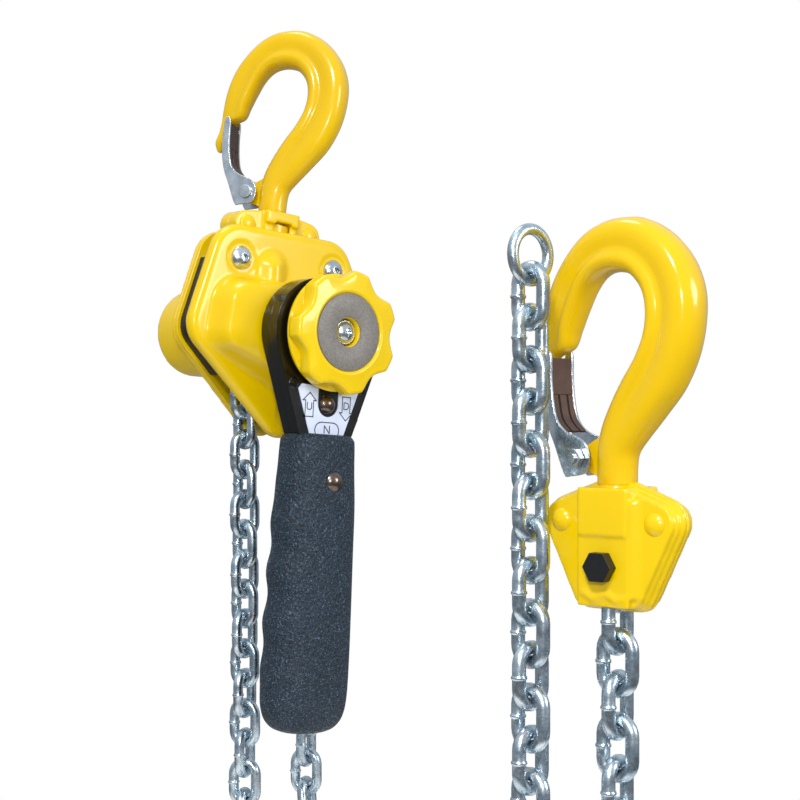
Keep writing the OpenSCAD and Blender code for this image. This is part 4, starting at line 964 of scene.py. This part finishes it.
def link_form():
    """A link on end in the XZ plane; its weld is on the +x limb."""
    straight = LINK_INSIDE + WIRE_R - LINK_MID
    path = [(LINK_MID, z, 0, WIRE_R + swell) for z, swell in [(-straight, 0), *WELD]]
    for k in range(13):
        x, z = polar(LINK_MID, 15 * k)
        path.append((x, z + straight, 15 * k, WIRE_R))
    for k in range(13):
        x, z = polar(LINK_MID, 180 + 15 * k)
        path.append((x, z - straight, 180 + 15 * k, WIRE_R))
    path.pop()
    rings = []
    for x, z, angle, radius in path:
        out = Vector((*polar(1, angle), 0))
        level = []
        for k in range(16):
            c, s = polar(radius, 22.5 * k)
            level.append((x + out.x * c, s, z + out.y * c))
        rings.append(level)
    return skin(rings, True)


def chain_tree():
    """Links on points, each turned by its own angles."""
    tree = bpy.data.node_groups.new("chain_run", "GeometryNodeTree")
    for name, kind in (("Places", "Geometry"), ("Link", "Object"), ("Finish", "Material")):
        tree.interface.new_socket(name, in_out="INPUT", socket_type="NodeSocket" + kind)
    tree.interface.new_socket("Chain", in_out="OUTPUT", socket_type="NodeSocketGeometry")
    start = tree.nodes.new("NodeGroupInput")
    link = tree.nodes.new("GeometryNodeObjectInfo")
    turn = tree.nodes.new("GeometryNodeInputNamedAttribute")
    turn.data_type = "FLOAT_VECTOR"
    turn.inputs["Name"].default_value = "turn"
    hang = tree.nodes.new("GeometryNodeInstanceOnPoints")
    real = tree.nodes.new("GeometryNodeRealizeInstances")
    paint = tree.nodes.new("GeometryNodeSetMaterial")
    end = tree.nodes.new("NodeGroupOutput")
    for source, output, target, entry in (
        (start, "Places", hang, "Points"), (start, "Link", link, "Object"),
        (link, "Geometry", hang, "Instance"), (turn, "Attribute", hang, "Rotation"),
        (hang, "Instances", real, "Geometry"), (real, "Geometry", paint, "Geometry"),
        (start, "Finish", paint, "Material"), (paint, "Geometry", end, "Chain"),
    ):
        tree.links.new(source.outputs[output], target.inputs[entry])
    return tree


def islands(mesh):
    """The points of every separate link of a chain node, always in the same order."""
    bm = bmesh.new()
    bm.from_mesh(mesh)
    bmesh.ops.remove_doubles(bm, verts=bm.verts, dist=0.002 * MM)
    seen = set()
    found = []
    for seed in bm.verts:
        if seed in seen:
            continue
        seen.add(seed)
        todo, points = [seed], []
        while todo:
            reached = todo.pop()
            points.append(reached.co.copy())
            for edge in reached.link_edges:
                for v in edge.verts:
                    if v not in seen:
                        seen.add(v)
                        todo.append(v)
        found.append(points)
    bm.free()
    return found


def link_axes(points):
    """Middle and rotation of a link, from the longest and thinnest spread of its points."""
    middle = sum(points, Vector()) / len(points)
    spreads = Matrix(((0, 0, 0),) * 3)
    for p in points:
        d = p - middle
        for i in range(3):
            for j in range(3):
                spreads[i][j] += d[i] * d[j]
    long_way = Vector((0.31, 0.17, 0.93))
    for _ in range(60):
        long_way = (spreads @ long_way).normalized()
    thin_way = Vector((0.5, 0.6, 0.2))
    flipped = spreads.inverted()
    for _ in range(60):
        thin_way = (flipped @ thin_way).normalized()
    wide_way = thin_way.cross(long_way).normalized()
    side = wide_way.dot(RIGHT)
    if abs(side) < UPRIGHT:
        side = -wide_way.z
    if side > 0:
        wide_way = -wide_way
    thin_way = long_way.cross(wide_way).normalized()
    return middle, Matrix((wide_way, thin_way, long_way)).transposed()


def chains(nodes):
    """One mesh of welded links for each chain node, a link on each of the node's own."""
    template = bpy.data.meshes.new("link")
    form = link_form()
    template.from_pydata([Vector(p) * MM for p in form[0]], [], form[1])
    bm = bmesh.new()
    bm.from_mesh(template)
    bmesh.ops.recalc_face_normals(bm, faces=bm.faces)
    bm.to_mesh(template)
    bm.free()
    template.shade_smooth()
    link = bpy.data.objects.new("link", template)
    bpy.context.scene.collection.objects.link(link)
    tree = chain_tree()
    sockets = tree.interface.items_tree
    keys = {socket.name: socket.identifier for socket in sockets if socket.in_out == "INPUT"}
    for node in nodes:
        places = [link_axes(points) for points in islands(NODES[node].data)]
        cloud = bpy.data.meshes.new("places")
        cloud.from_pydata([middle for middle, _ in places], [], [])
        turns = cloud.attributes.new("turn", "FLOAT_VECTOR", "POINT")
        for item, (_, axes) in zip(turns.data, places):
            item.vector = axes.to_euler()
        holder = bpy.data.objects.new("holder", cloud)
        bpy.context.scene.collection.objects.link(holder)
        modifier = holder.modifiers.new("chain", "NODES")
        modifier.node_group = tree
        modifier[keys["Link"]] = link
        modifier[keys["Finish"]] = FINISH[SLOT[node]]
        mesh = evaluated(holder, node + "_links")
        bpy.data.objects.remove(holder)
        bpy.data.meshes.remove(cloud)
        show(node + "_links", mesh, [node])
    bpy.data.objects.remove(link)


chains([node for node in NODES if "chain_" in node and SLOT[node] == "chain_zinc"])


# ---------- finishes of the CAD's own pieces ----------

for node, thing in NODES.items():
    if not thing.hide_render:
        thing.data.materials.clear()
        thing.data.materials.append(FINISH[SLOT[node]])


# ---------- stage ----------

EYE = Vector((-0.5922, -0.8149, -0.204))
AHEAD = Vector((0.643, 0.766, 0))

camera = bpy.data.objects.new("camera", bpy.data.cameras.new("camera"))
camera.data.sensor_width = 36
camera.data.lens = 73.47
camera.data.clip_start = 0.05
facing = Matrix((RIGHT, (0, 0, 1), -AHEAD)).transposed().to_4x4()
camera.matrix_world = Matrix.Translation(EYE) @ facing
bpy.context.scene.collection.objects.link(camera)
bpy.context.scene.camera = camera


def softbox(name, where, towards, size, power):
    """A round soft light in watts, aimed at a place."""
    lamp = bpy.data.lights.new(name, "AREA")
    lamp.shape = "DISK"
    lamp.size = size
    lamp.energy = power
    lamp.color = tone("FFFFFF")[:3]
    made = bpy.data.objects.new(name, lamp)
    way = Vector(towards) - Vector(where)
    made.matrix_world = Matrix.Translation(where) @ way.to_track_quat("-Z", "Y").to_matrix().to_4x4()
    bpy.context.scene.collection.objects.link(made)


MIDDLE = (-0.03, -0.12, -0.2)
softbox("key", (-0.95, -0.85, 0.7), MIDDLE, 0.28, 12)
softbox("fill", (0.6, -1.3, 0.15), MIDDLE, 0.5, 6)
softbox("top", (-0.1, 0.1, 0.9), MIDDLE, 0.4, 3)
softbox("flash", (-0.66, -0.9, -0.02), MIDDLE, 0.07, 3)

world = bpy.data.worlds.new("studio")
world.use_nodes = True
bpy.context.scene.world = world
tree = world.node_tree
tree.nodes.clear()
rays = add(tree, "LightPath").outputs
room = add(tree, "Background", {"Color": tone("F2F4F8"), "Strength": 0.52}).outputs[0]
# What glossy faces mirror: a dim hall, brighter above
way = add(tree, "SeparateXYZ", {0: add(tree, "TexCoord").outputs["Generated"]}).outputs["Z"]
hall_light = spread(tree, way, -0.35, 0.6, 0.2, 0.85)
hall = add(tree, "Background", {"Color": tone("DDE8F4"), "Strength": hall_light}).outputs[0]
white = add(tree, "Background", {"Color": tone("FFFFFF"), "Strength": 1.0}).outputs[0]
lit = add(tree, "MixShader", {0: rays["Is Glossy Ray"], 1: room, 2: hall}).outputs[0]
mixed = add(tree, "MixShader", {0: rays["Is Camera Ray"], 1: lit, 2: white}).outputs[0]
add(tree, "OutputWorld", {"Surface": mixed})


def floor():
    """Pale paper under the chain, fading to nothing at its edge."""
    low = loaded_box[0].z - 0.0005
    radius, middle_x, middle_y = 0.4, -0.04, -0.14
    form = turned([(0.001, low), (radius / 2, low), (radius, low)], steps=96)
    spots = [Vector((x + middle_x, y + middle_y, z)) for x, y, z in form[0]]
    mesh = bpy.data.meshes.new("paper")
    mesh.from_pydata(spots, [], form[1][:-1])
    paper = bpy.data.materials.new("pale_paper")
    paper.use_nodes = True
    tree = paper.node_tree
    tree.nodes.clear()
    place = add(tree, "TexCoord").outputs["Object"]
    grain = blend(tree, noise(tree, place, 0.01), tone("FAFAFA"), tone("F4F4F4"))
    dull = add(tree, "BsdfDiffuse", {"Color": grain}).outputs[0]
    clear = add(tree, "BsdfTransparent").outputs[0]
    back = (-middle_x, -middle_y, -low)
    centred = add(tree, "VectorMath", {0: place, 1: back}, operation="ADD").outputs[0]
    away = add(tree, "VectorMath", {0: centred}, operation="LENGTH").outputs["Value"]
    fade = spread(tree, away, radius * 0.75, radius * 0.99, 0, 1)
    faded = add(tree, "MixShader", {0: fade, 1: dull, 2: clear}).outputs[0]
    add(tree, "OutputMaterial", {"Surface": faded})
    mesh.materials.append(paper)
    made = bpy.data.objects.new("paper", mesh)
    bpy.context.scene.collection.objects.link(made)


floor()
bpy.context.scene.view_settings.view_transform = "Standard"
